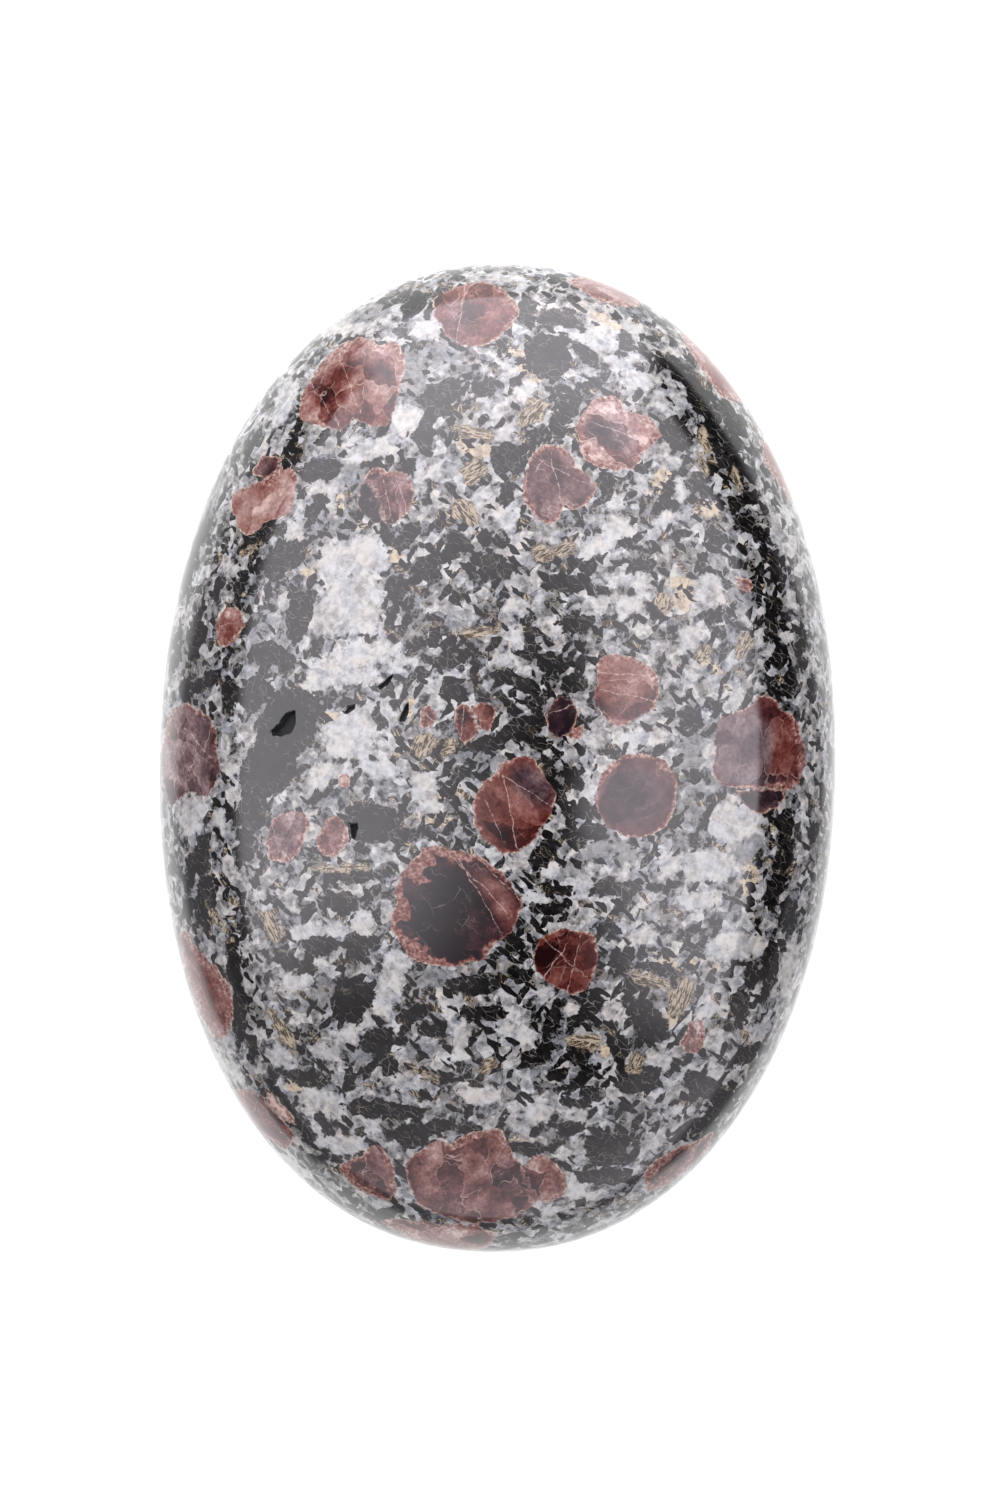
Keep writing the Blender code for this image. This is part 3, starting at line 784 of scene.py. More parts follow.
@dataclass(frozen=True)
class RockFinish:
    """The polished rock: milky feldspar, black mica, brassy fibres and cracked red crystals.

    Attributes:
        feldspar: Its colours from the darkest glassy grains to the whitest, each with its tone.
        gem: The crystals' colours from the deepest to the cloudiest, each with its tone.
        mauve: The same where a crystal is greyed.
        cool: What tints the coolest feldspar grains.
        warm: What tints the warmest.
        black: The mica.
        soot: Its dustier laths.
        ash: The hairlines between its laths.
        umber: The ground of the brassy grains.
        frost: The pale hairlines in the feldspar.
        cream: The brassy fibres and the palest tan.
        straw: The deeper tan.
        blush: The cracks in the crystals.
        chalk: The broken line round each crystal.
        grain_size: The feldspar grains' size in millimetres.
        chip_size: The size of the chips that they are broken into, in millimetres.
        lath_size: The mica laths' width in millimetres.
        laths: The ways the laths lie: how drawn out, how turned, and the draw from which one is mica.
        black_tone: The tone under which the rock is black mica.
        grain_tone: A grain's tone at its heart and at its seam.
        tone_shares: How much the grain, the chip and the mottle each change the tone.
        milk: A milky grain's tone, and how much of the grain's own and of the mottle it keeps.
        glass: A glassy grain's tone, and how much of the chip and of the mottle it keeps.
        push: How far noise pushes the grains about, in millimetres.
        patch_edge: How far coarse and fine noise push a patch's edge about, in millimetres.
        crystal_edge: The same for a crystal's edge.
        fibre: How drawn out the brassy fibres are.
        shard: How drawn out the pieces are that a crystal is cracked into.
        shard_scale: How many of them there are to a millimetre.
        net_scale: How many meshes of fine cracks there are to a millimetre.
        stir: The lumps to a millimetre of the noises that push the grains about.
        mottle: The mottle's lumps to a millimetre, its finer layers and their strength.
        seam_fade: Where a grain's tone begins and ends to change, in grains from its heart.
        milky_laths: The share of the laths that stays outside a milky patch, and inside it.
        sink: How much a lath or a dark patch changes the tone.
        black_soft: Half the range of tones over which the rock turns black.
        tan_mottle: The mottle between which tan grains turn from straw to cream.
        lath_soft: The range of draws over which a lath sets in.
        brassy_draws: The draws between which it turns brassy.
        brassy_left: The share of brassy laths that stays in a dark patch.
        sooty_draws: The draws between which a lath turns dusty.
        hair_edge: Where a hairline at a seam ends and where it is whole, in laths from the seam.
        hair_draws: The draws between which it sets in, and its strength at both.
        hair_depth: How deep in a dark patch it fades, in millimetres, and its strength at both.
        shine: How much brighter fibres are on a brassy grain, and how bright they are elsewhere.
        line_edge: Where a line round a black grain ends and is whole, in tones from black_tone.
        line_draws: The draws between which it sets in.
        line_strength: Its strength.
        vein_edge: Where a line along the mottle's contours ends and is whole, in the mottle's swing.
        vein_draws: The draws between which it strengthens, and its strength at both.
        fibre_noise: The fibres' lumps to a millimetre, their finer layers and their strength.
        fibre_gold: How much the noise is raised in a patch of gold.
        fibre_edge: The noise between which a fibre sets in.
        gem_stir: The lumps to a millimetre of the noises that push a crystal's own pattern about.
        gem_push: How far they push its shards and its net of fine cracks, in millimetres.
        haze: The haze's lumps to a millimetre, its finer layers and their strength.
        grit: The same of the grit.
        swings: How much the haze, the shard and the grit change a crystal's tone.
        rim_torn: The noise between which the rim widens, and its width at both, as a share.
        rim_soft: Half the width of its inner edge, in millimetres.
        rim_strength: How much of the tone it takes over.
        rim_tone: How much the grit changes the rim's tone, and that tone.
        crack_edge: Where a crack between shards ends and is whole, in shards from the seam.
        crack_noise: The noise between which it sets in.
        net_edge: Where a fine crack ends and is whole, in meshes from its middle.
        net_haze: The haze between which it sets in.
        crack_strengths: The strength of a crack between shards, and of a fine one.
        crack_swing: How much stronger both are for a swing of 1, and how strong they are without.
        wobble: How far the coarse noise and the grit push a long crack aside, in millimetres.
        long_edge: Where a long crack ends and is whole, in millimetres from its middle.
        long_grit: The grit between which it strengthens, and its strength at both.
        chalk_line: How far inside the outline the broken line runs, in millimetres.
        chalk_edge: Where it ends and is whole, in millimetres from its middle.
        chalk_grit: The grit between which it strengthens, and its strength at both.
        chalk_torn: The same of the coarse noise.
        edge_scale: The lumps to a millimetre of the fine noise at a crystal's edge.
        edge_soft: Half the width of that edge, in millimetres.
        pit_shade: Where a pit begins to be black and where it is, as a share of its depth; this black
            is painted shade in the hollow.
        mica_polish: The mica's roughness.
        grain_polish: The feldspar's.
        gem_polish: The crystals'.
        pit_polish: An open pit's.
        ior: How strongly the polish mirrors.
    """

    feldspar: Stops = (
        (0.27, (0.030, 0.031, 0.033, 1.0)),
        (0.40, (0.090, 0.092, 0.096, 1.0)),
        (0.56, (0.172, 0.173, 0.176, 1.0)),
        (0.74, (0.280, 0.280, 0.272, 1.0)),
        (1.00, (0.352, 0.352, 0.337, 1.0)),
    )
    gem: Stops = (
        (0.00, (0.006, 0.0010, 0.0013, 1.0)),
        (0.20, (0.032, 0.0050, 0.0042, 1.0)),
        (0.40, (0.074, 0.020, 0.0145, 1.0)),
        (0.60, (0.130, 0.058, 0.047, 1.0)),
        (0.78, (0.185, 0.116, 0.100, 1.0)),
        (1.00, (0.340, 0.258, 0.228, 1.0)),
    )
    mauve: Stops = (
        (0.00, (0.005, 0.0040, 0.0060, 1.0)),
        (0.20, (0.016, 0.0115, 0.0145, 1.0)),
        (0.40, (0.044, 0.032, 0.036, 1.0)),
        (0.60, (0.098, 0.076, 0.080, 1.0)),
        (0.78, (0.170, 0.138, 0.137, 1.0)),
        (1.00, (0.320, 0.280, 0.270, 1.0)),
    )
    cool: Colour = (0.95, 0.985, 1.01, 1.0)
    warm: Colour = (1.04, 1.00, 0.92, 1.0)
    black: Colour = (0.0010, 0.0010, 0.0012, 1.0)
    soot: Colour = (0.0045, 0.0043, 0.0046, 1.0)
    ash: Colour = (0.115, 0.108, 0.094, 1.0)
    umber: Colour = (0.028, 0.020, 0.012, 1.0)
    frost: Colour = (0.205, 0.198, 0.192, 1.0)
    cream: Colour = (0.30, 0.255, 0.180, 1.0)
    straw: Colour = (0.17, 0.140, 0.10, 1.0)
    blush: Colour = (0.30, 0.225, 0.195, 1.0)
    chalk: Colour = (0.30, 0.260, 0.205, 1.0)
    grain_size: float = 0.78
    chip_size: float = 0.34
    lath_size: float = 0.42
    laths: tuple[tuple[tuple[float, float, float], tuple[float, float, float], float], ...] = (
        ((2.3, 0.9, 1.3), (20.0, 0.0, 58.0), 0.85),
        ((2.0, 0.8, 1.2), (0.0, 15.0, -38.0), 0.86),
    )
    black_tone: float = 0.29
    grain_tone: Span = (-0.035, 0.125)
    tone_shares: Triple = (0.44, 0.28, 0.9)
    milk: Triple = (0.52, 0.38, 0.40)
    glass: Triple = (0.36, 0.12, 0.7)
    push: float = 0.38
    patch_edge: Span = (0.9, 0.6)
    crystal_edge: Span = (0.45, 0.22)
    fibre: Triple = (2.6, 0.50, 1.0)
    shard: Triple = (2.2, 1.0, 1.5)
    shard_scale: float = 0.75
    net_scale: float = 2.1
    stir: float = 1.4
    mottle: Triple = (2.3, 4.0, 0.70)
    seam_fade: Span = (0.10, 0.55)
    milky_laths: Span = (0.9, 0.1)
    sink: float = -0.9
    black_soft: float = 0.02
    tan_mottle: Span = (0.40, 0.60)
    lath_soft: float = 0.005
    brassy_draws: Span = (0.93, 0.94)
    brassy_left: float = 0.12
    sooty_draws: Span = (0.55, 0.95)
    hair_edge: Span = (0.040, 0.008)
    hair_draws: Grade = (0.30, 0.85, 0.0, 0.75)
    hair_depth: Grade = (0.35, 0.90, 1.0, 0.08)
    shine: Span = (0.70, 0.02)
    line_edge: Span = (0.022, 0.004)
    line_draws: Span = (0.66, 0.72)
    line_strength: float = 0.5
    vein_edge: Span = (0.016, 0.003)
    vein_draws: Grade = (0.20, 0.90, 0.10, 0.65)
    fibre_noise: Triple = (4.6, 2.0, 0.65)
    fibre_gold: float = 0.05
    fibre_edge: Span = (0.50, 0.60)
    gem_stir: float = 0.8
    gem_push: Span = (1.3, 0.9)
    haze: Triple = (0.7, 4.0, 0.6)
    grit: Triple = (4.5, 3.0, 0.65)
    swings: Triple = (1.9, 0.60, 0.95)
    rim_torn: Grade = (0.3, 0.7, 0.2, 1.8)
    rim_soft: float = 0.10
    rim_strength: float = 0.85
    rim_tone: Span = (2.2, 0.60)
    crack_edge: Span = (0.018, 0.002)
    crack_noise: Span = (0.42, 0.66)
    net_edge: Span = (0.034, 0.0)
    net_haze: Span = (-0.02, 0.16)
    crack_strengths: Span = (0.65, 0.45)
    crack_swing: Span = (2.0, -0.5)
    wobble: Span = (0.5, 0.16)
    long_edge: Span = (0.042, 0.006)
    long_grit: Grade = (-0.14, 0.12, 0.05, 0.80)
    chalk_line: float = 0.035
    chalk_edge: Span = (0.080, 0.010)
    chalk_grit: Grade = (-0.12, 0.14, 0.1, 0.90)
    chalk_torn: Grade = (0.38, 0.60, 0.1, 1.0)
    edge_scale: float = 3.0
    edge_soft: float = 0.025
    pit_shade: Span = (0.10, 0.45)
    mica_polish: float = 0.13
    grain_polish: float = 0.085
    gem_polish: float = 0.075
    pit_polish: float = 0.8
    ior: float = 1.56

    def matrix(self, sheet: Sheet, place: Socket, stir: Socket) -> tuple[Socket, Socket]:
        """The rock between the crystals.

        Args:
            sheet: The material's sheet.
            place: The place on the stone, in millimetres.
            stir: Three soft noises at that place.

        Returns:
            Its colour and its roughness.
        """
        loose = sheet.pushed(place, stir, self.push)
        gap, (lot, hue, _) = sheet.cells(loose, 1.0 / self.grain_size)
        _, (chip, spot, _) = sheet.cells(loose, 1.0 / self.chip_size)
        mottle = sheet.cloud(place, *self.mottle)
        swing = sheet.minus(mottle, 0.5)
        coarse, fine = self.patch_edge
        ragged = sheet.weighed(sheet.minus(sheet.split(stir)[2], 0.5), coarse, sheet.times(swing, fine))
        patch = {grain: self.patch(sheet, grain, ragged) for grain in Grain}
        laths, streak, brassy, seam = self.mica(sheet, loose)
        laths = sheet.times(laths, sheet.grade(patch[Grain.PALE], 0.0, 1.0, *self.milky_laths))

        # Each grain has its own tone, paler towards its seam, and each chip and the mottle change it.
        tone = sheet.grade(gap, *self.seam_fade, *self.grain_tone)
        for part, share in zip((lot, chip, swing), self.tone_shares):
            tone = sheet.weighed(part, share, tone)
        # Milky and glassy patches are more even, and laths and dark patches sink below black_tone.
        middle, own, mottled = self.milk
        milk = sheet.weighed(swing, mottled, sheet.weighed(tone, own, middle))
        tone = sheet.lerp(patch[Grain.PALE], tone, milk)
        middle, own, mottled = self.glass
        glass = sheet.weighed(chip, own, sheet.weighed(swing, mottled, middle))
        tone = sheet.lerp(patch[Grain.GREY], tone, glass)
        tone = sheet.weighed(sheet.larger(laths, patch[Grain.DARK]), self.sink, tone)

        # The pale minerals.
        colour = sheet.tinted(sheet.ramp(tone, self.feldspar), sheet.mix(hue, self.cool, self.warm))
        tan = sheet.mix(sheet.grade(mottle, *self.tan_mottle), self.straw, self.cream)
        colour = sheet.mix(patch[Grain.TAN], colour, tan)
        # The black ones: dusty laths, brassy grains, hairlines at the seams and bright fibres.
        gold = patch[Grain.GOLD]
        pale, dark = self.black_tone + self.black_soft, self.black_tone - self.black_soft
        black = sheet.larger(sheet.grade(tone, pale, dark), gold)
        left = sheet.lerp(patch[Grain.DARK], 1.0, self.brassy_left)
        brassy = sheet.larger(sheet.times(brassy, left), gold)
        coal = sheet.mix(sheet.grade(streak, *self.sooty_draws), self.black, self.soot)
        coal = sheet.mix(brassy, coal, self.umber)
        hair = sheet.times(sheet.grade(seam, *self.hair_edge), sheet.grade(spot, *self.hair_draws))
        inner = sheet.grade(sheet.attribute(Grain.DARK.value[0]), *self.hair_depth)
        coal = sheet.mix(sheet.times(hair, inner), coal, self.ash)
        shine = sheet.weighed(brassy, *self.shine)
        shine = sheet.times(self.strands(sheet, place, streak, gold), shine)
        colour = sheet.mix(black, colour, sheet.mix(shine, coal, self.cream))

        # Pale hairlines round some black grains and along the contours of the mottle.
        away = sheet.unsigned(sheet.minus(tone, self.black_tone))
        line = sheet.times(sheet.grade(away, *self.line_edge), sheet.grade(hue, *self.line_draws))
        colour = sheet.mix(sheet.times(line, self.line_strength), colour, self.cream)
        vein = sheet.grade(sheet.unsigned(swing), *self.vein_edge)
        vein = sheet.times(vein, sheet.grade(spot, *self.vein_draws))
        colour = sheet.mix(sheet.lerp(black, vein, 0.0), colour, self.frost)
        return colour, sheet.lerp(black, self.grain_polish, self.mica_polish)

    def patch(self, sheet: Sheet, grain: Grain, ragged: Socket) -> Socket:
        """How much of a kind of patch there is: 1 inside it, where noise pushes its edge about."""
        name, soft = grain.value
        return sheet.grade(sheet.plus(sheet.attribute(name), ragged), -soft, soft)

    def mica(self, sheet: Sheet, loose: Socket) -> tuple[Socket, Socket, Socket, Socket]:
        """Mica laths that lie two ways.

        Args:
            sheet: The material's sheet.
            loose: The pushed place.

        Returns:
            The share of laths, a number that is drawn anew for each, the share that is brassy, and
            the distance to the seam between two laths.
        """
        share = 0.0
        for stretch, turns, limit in self.laths:
            drawn = sheet.drawn_out(loose, stretch, turns)
            _, (lot, streak, kind) = sheet.cells(drawn, 1.0 / self.lath_size)
            share = sheet.larger(share, sheet.grade(lot, limit, limit + self.lath_soft))
        brassy = sheet.grade(kind, *self.brassy_draws)
        return share, streak, brassy, sheet.seams(drawn, 1.0 / self.lath_size)

    def strands(self, sheet: Sheet, place: Socket, streak: Socket, gold: Socket) -> Socket:
        """Fibres: along the patch in a patch of gold, and each lath's own way elsewhere."""
        inputs = {"Vector": place, "Angle": sheet.times(streak, math.tau)}
        turned_way = sheet.node("ShaderNodeVectorRotate", inputs, rotation_type="Z_AXIS").outputs[0]
        along = sheet.choose(gold, turned_way, sheet.attribute("lie", "Vector"))
        fibres = sheet.cloud(sheet.drawn_out(along, self.fibre), *self.fibre_noise)
        return sheet.grade(sheet.weighed(gold, self.fibre_gold, fibres), *self.fibre_edge)

    def crystal(self, sheet: Sheet, place: Socket, inside: Socket) -> Socket:
        """The cracked red crystals.

        Args:
            sheet: The material's sheet.
            place: The place on the stone, in millimetres.
            inside: How far the place is inside a crystal, in millimetres.

        Returns:
            Their colour.
        """
        depth, swing, rim = sheet.parts(sheet.attribute("traits", "Vector"))
        facets = sheet.attribute("facets", "Vector")
        stir = sheet.cloud(facets, self.gem_stir, output="Color")
        pick, _, torn = sheet.split(stir)
        shard_push, net_push = self.gem_push
        shards = sheet.drawn_out(sheet.pushed(facets, stir, shard_push), self.shard)
        _, (shade, _, _) = sheet.cells(shards, self.shard_scale)
        flaws = sheet.seams(shards, self.shard_scale)
        net = sheet.seams(sheet.pushed(facets, stir, net_push), self.net_scale)
        haze = sheet.minus(sheet.cloud(facets, *self.haze), 0.5)
        grit = sheet.minus(sheet.cloud(place, *self.grit), 0.5)

        # Haze, shards and grit change the tone as far as the crystal's swing lets them.
        hazy, shady, gritty = self.swings
        tone = sheet.weighed(haze, hazy, sheet.weighed(shade, shady, -0.5 * shady))
        tone = sheet.weighed(tone, swing, depth)
        tone = sheet.weighed(grit, sheet.times(swing, gritty), tone)
        # The rim is paler and redder, and as ragged as the noise makes it.
        reach = sheet.times(rim, sheet.grade(torn, *self.rim_torn))
        rimmed = sheet.grade(sheet.minus(inside, reach), self.rim_soft, -self.rim_soft)
        rim_tone = sheet.weighed(grit, *self.rim_tone)
        tone = sheet.lerp(sheet.times(rimmed, self.rim_strength), tone, rim_tone)
        grey = sheet.lerp(rimmed, sheet.attribute("dusk"), 0.0)
        colour = sheet.mix(grey, sheet.ramp(tone, self.gem), sheet.ramp(tone, self.mauve))

        # Cracks between some shards, a net of finer ones, and the long ones that wobble.
        wide = sheet.times(sheet.grade(flaws, *self.crack_edge), sheet.grade(pick, *self.crack_noise))
        fine = sheet.times(sheet.grade(net, *self.net_edge), sheet.grade(haze, *self.net_haze))
        cracks = sheet.larger(*map(sheet.times, (wide, fine), self.crack_strengths))
        cracks = sheet.times(cracks, sheet.weighed(swing, *self.crack_swing))
        colour = sheet.mix(cracks, colour, self.blush)
        coarse, fine = self.wobble
        wobble = sheet.weighed(torn, coarse, sheet.weighed(grit, fine, -0.5 * coarse))
        long = 0.0
        for beside in sheet.parts(sheet.attribute("cracks", "Vector")):
            away = sheet.unsigned(sheet.plus(beside, wobble))
            long = sheet.larger(long, sheet.grade(away, *self.long_edge))
        long = sheet.times(long, sheet.grade(grit, *self.long_grit))
        colour = sheet.mix(long, colour, self.blush)
        # The broken pale line just inside the outline.
        away = sheet.unsigned(sheet.minus(inside, self.chalk_line))
        edge = sheet.times(sheet.grade(away, *self.chalk_edge), sheet.grade(grit, *self.chalk_grit))
        edge = sheet.times(edge, sheet.grade(torn, *self.chalk_torn))
        return sheet.mix(edge, colour, self.chalk)

    def build(self) -> bpy.types.Material:
        """Writes the material.

        Returns:
            The material.
        """
        material = bpy.data.materials.new(SLOT)
        material.use_nodes = True
        sheet = Sheet(material.node_tree)
        rock = material.node_tree.nodes["Principled BSDF"]
        place = sheet.scaled(sheet.node("ShaderNodeTexCoord").outputs["Object"], 1.0 / MM)
        stir = sheet.cloud(place, self.stir, output="Color")
        colour, polish = self.matrix(sheet, place, stir)
        # Deep in an open pit the colour turns to the mica's black: painted shade in the hollow.
        pit = sheet.grade(sheet.attribute("pit"), *self.pit_shade)
        sheet.feed(rock.inputs["Base Color"], sheet.mix(pit, colour, self.black))
        sheet.feed(rock.inputs["Roughness"], sheet.lerp(pit, polish, self.pit_polish))
        sheet.feed(rock.inputs["IOR"], self.ior)
        coarse, fine = self.crystal_edge
        ragged = sheet.times(sheet.minus(sheet.cloud(place, self.edge_scale), 0.5), fine)
        ragged = sheet.weighed(sheet.minus(sheet.split(stir)[2], 0.5), coarse, ragged)
        inside = sheet.plus(sheet.attribute("crystal"), ragged)
        looks = {"Base Color": self.crystal(sheet, place, inside), "Roughness": self.gem_polish,
                 "IOR": self.ior}
        gem = sheet.node("ShaderNodeBsdfPrincipled", looks)
        share = sheet.grade(inside, -self.edge_soft, self.edge_soft)
        both = {0: share, 1: rock.outputs[0], 2: gem.outputs[0]}
        mixed = sheet.node("ShaderNodeMixShader", both)
        sheet.feed(material.node_tree.nodes["Material Output"].inputs["Surface"], mixed.outputs[0])
        return material


@dataclass
class PalmStone:
    """The stone: its sizes, its mesh, what is painted on the mesh and its finish.

    Attributes:
        length: Its length before it is made uneven, in metres.
        width: Its width.
        thickness: Its thickness.
        lean: How far its right side is raised, in degrees.
        flat_depth: How deep its resting spot is worn, in metres.
        outline_power: The power of its outline, where an ellipse has 2.
        profile_power: The power of its profile.
        corner_share: How far its three faint corners stand out, as a share.
        corner_angle: Where the first of them is, in degrees from +X.
        uneven_share: How uneven it is, as a share.
        uneven_lumps: How many lumps there are to its half size.
        squares_across: The squares of its mesh across.
        squares_along: The same along it.
        squares_deep: The same from top to bottom.
        pit_squares: How much finer the squares over a pit are.
        pit_margin: How far outside a pit they are finer, in millimetres.
        pit_grain: The size of the raggedness of a pit's wall, in millimetres.
        pit_ragged: How far it pushes the wall about, in millimetres.
        pit_wall: How far inside the outline the wall begins and ends, in millimetres.
        facing_up: How much a point faces up where a pit may reach it.
        hidden_seed: The seed of what is strewn over the sides and the underside.
        hidden_crystals: How many crystals are.
        hidden_patches: How many patches are.
        camera: The camera that the outlines are seen from.
        finish: Its finish.
    """

    length: float = 0.0600
    width: float = 0.0413
    thickness: float = 0.0230
    lean: float = 8.0
    flat_depth: float = 0.0004
    outline_power: float = 2.13
    profile_power: float = 2.06
    corner_share: float = 0.003
    corner_angle: float = 97.0
    uneven_share: float = 0.004
    uneven_lumps: float = 1.1
    squares_across: int = 120
    squares_along: int = 168
    squares_deep: int = 84
    pit_squares: int = 5
    pit_margin: float = 0.3
    pit_grain: float = 0.30
    pit_ragged: float = 0.08
    pit_wall: Span = (-0.03, 0.10)
    facing_up: float = 0.3
    hidden_seed: int = 11
    hidden_crystals: int = 26
    hidden_patches: int = 90
    camera: PhotoCamera = field(default_factory=PhotoCamera)
    finish: RockFinish = field(default_factory=RockFinish)

    def oval_tree(self) -> bpy.types.NodeTree:
        """Writes the Geometry Nodes that blow a cube up into the oval.

        Returns:
            The tree. Its sizes are named inputs.
        """
        tree = bpy.data.node_groups.new("full_oval", "GeometryNodeTree")
        for kind, names in {
            "NodeSocketFloat": ("Length", "Width", "Thickness", "Outline Power", "Profile Power",
                                "Corner Share", "Corner Angle"),
            "NodeSocketInt": ("Squares Across", "Squares Along", "Squares Deep"),
            "NodeSocketMaterial": ("Material",),
        }.items():
            for name in names:
                tree.interface.new_socket(name, in_out="INPUT", socket_type=kind)
        tree.interface.new_socket("Geometry", in_out="OUTPUT", socket_type="NodeSocketGeometry")
        sheet = Sheet(tree)
        sizes = sheet.node("NodeGroupInput").outputs
        squares = {f"Vertices {axis}": sheet.plus(sizes[name], 1.0)
                   for axis, name in zip("XYZ", ("Squares Across", "Squares Along", "Squares Deep"))}
        cube = sheet.node("GeometryNodeMeshCube", {"Size": (2.0, 2.0, 2.0), **squares})
        corner = sheet.node("GeometryNodeInputPosition").outputs[0]
        even = sheet.vector("TANGENT", sheet.scaled(corner, 0.25 * math.pi))
        way = sheet.vector("NORMALIZE", even)
        halves = [sheet.times(sizes[name], 0.5) for name in ("Width", "Length", "Thickness")]
        half = sheet.node("ShaderNodeCombineXYZ", dict(enumerate(halves))).outputs[0]
        reach = self.reach(sheet, sheet.parts(way), sizes)
        full = sheet.vector("MULTIPLY", sheet.scaled(way, reach), half)
        made = cube.outputs["Mesh"]
        for kind, inputs in (
            ("GeometryNodeSetPosition", {"Position": full}),
            ("GeometryNodeSetShadeSmooth", {}),
            ("GeometryNodeRealizeInstances", {}),
            ("GeometryNodeSetMaterial", {"Material": sizes["Material"]}),
        ):
            made = sheet.node(kind, {"Geometry": made, **inputs}).outputs[0]
        sheet.node("NodeGroupOutput", {0: made})
        return tree

    def reach(self, sheet: Sheet, way: Sequence[Socket], sizes: object) -> Socket:
        """How far out the oval lies along a direction, in half sizes.

        Args:
            sheet: The tree's sheet.
            way: The direction's three parts.
            sizes: The tree's inputs.

        Returns:
            The reach.
        """
        outer, profile = sizes["Outline Power"], sizes["Profile Power"]
        flat = [sheet.sum("POWER", sheet.unsigned(side), outer) for side in way[:2]]
        outline = sheet.sum("POWER", sheet.plus(*flat), sheet.sum("DIVIDE", profile, outer))
        rise = sheet.sum("POWER", sheet.unsigned(way[2]), profile)
        fullness = sheet.sum("POWER", sheet.plus(outline, rise), sheet.sum("DIVIDE", 1.0, profile))
        around = sheet.minus(sheet.sum("ARCTAN2", way[1], way[0]), sizes["Corner Angle"])
        upright = sheet.minus(1.0, sheet.times(way[2], way[2]))
        corners = sheet.times(sheet.sum("COSINE", sheet.times(around, 3.0)), upright)
        corners = sheet.times(corners, sizes["Corner Share"])
        return sheet.sum("DIVIDE", sheet.plus(corners, 1.0), fullness)

    def oval(self, material: bpy.types.Material) -> bpy.types.Mesh:
        """Runs the Geometry Nodes once and keeps what they make as a plain mesh.

        Args:
            material: The stone's finish.

        Returns:
            The oval, before it leans.
        """
        seed = bpy.data.objects.new("oval_seed", bpy.data.meshes.new("oval_seed"))
        bpy.context.scene.collection.objects.link(seed)
        grown = seed.modifiers.new("full_oval", "NODES")
        grown.node_group = self.oval_tree()
        values = {
            "Length": self.length, "Width": self.width, "Thickness": self.thickness,
            "Outline Power": self.outline_power, "Profile Power": self.profile_power,
            "Corner Share": self.corner_share, "Corner Angle": math.radians(self.corner_angle),
            "Squares Across": self.squares_across, "Squares Along": self.squares_along,
            "Squares Deep": self.squares_deep, "Material": material,
        }
        for item in grown.node_group.interface.items_tree:
            if item.in_out == "INPUT":
                grown[item.identifier] = values[item.name]
        shown = seed.evaluated_get(bpy.context.evaluated_depsgraph_get())
        mesh = bpy.data.meshes.new_from_object(shown)
        bpy.data.objects.remove(seed, do_unlink=True)
        mesh.name = "palm_stone"
        return mesh

    def settle(self, mesh: bpy.types.Mesh) -> None:
        """Makes the faces a little uneven, leans the stone and wears its resting spot flat."""
        points = read(mesh.vertices, "co")
        ways = points / np.array([0.5 * self.width, 0.5 * self.length, 0.5 * self.thickness])
        ways /= np.linalg.norm(ways, axis=1, keepdims=True)
        lumps = np.array([noise.noise(Vector(way) * self.uneven_lumps) for way in ways])
        points *= 1.0 + self.uneven_share * lumps[:, None]
        turn = math.radians(-self.lean)
        leaning = np.empty_like(points)
        leaning[:, 0] = math.cos(turn) * points[:, 0] + math.sin(turn) * points[:, 2]
        leaning[:, 1] = points[:, 1]
        leaning[:, 2] = math.cos(turn) * points[:, 2] - math.sin(turn) * points[:, 0]
        low, high = leaning.min(axis=0), leaning.max(axis=0)
        leaning[:, :2] -= 0.5 * (low + high)[:2]
        leaning[:, 2] -= low[2] + self.flat_depth
        leaning[:, 2] = np.maximum(leaning[:, 2], 0.0)
        write_points(mesh, leaning)

    def sink_pits(self, mesh: bpy.types.Mesh) -> None:
        """Cuts the squares round each pit finer, pushes the pit in and notes how deep it is."""
        depths = np.zeros(len(mesh.vertices))
        for pit in PITS:
            self.refine(mesh, pit)
            points = read(mesh.vertices, "co")
            normals = read(mesh.vertex_normals, "vector")
            depths = np.concatenate([depths, np.zeros(len(points) - len(depths))])
            inside = inside_distance(self.camera.plan(points), pit.outline)
            near = np.nonzero((inside > -self.pit_margin) & (normals[:, 2] > self.facing_up))[0]
            grain = self.pit_grain * MM
            ragged = np.array([noise.noise(Vector(point) / grain) for point in points[near]])
            fall = step_between(inside[near] + self.pit_ragged * ragged, *self.pit_wall)
            points[near] -= normals[near] * (fall * pit.depth * MM)[:, None]
            write_points(mesh, points)
            depths[near] = np.maximum(depths[near], fall)
        note(mesh, "pit", depths)

    def refine(self, mesh: bpy.types.Mesh, pit: Pit) -> None:
        """Cuts the squares over one pit into finer ones.

        Args:
            mesh: The stone.
            pit: The pit.
        """
        middles = read(mesh.polygons, "center")
        inside = inside_distance(self.camera.plan(middles), pit.outline)
        over = (inside > -self.pit_margin) & (middles[:, 2] > self.camera.widest)
        work = bmesh.new()
        work.from_mesh(mesh)
        work.faces.ensure_lookup_table()
        edges = {edge for index in np.nonzero(over)[0] for edge in work.faces[index].edges}
        ordered = sorted(edges, key=lambda edge: edge.index)
        bmesh.ops.subdivide_edges(work, edges=ordered, cuts=self.pit_squares - 1, use_grid_fill=True)
        bmesh.ops.triangulate(work, faces=[face for face in work.faces if len(face.verts) > 4])
        work.to_mesh(mesh)
        work.free()

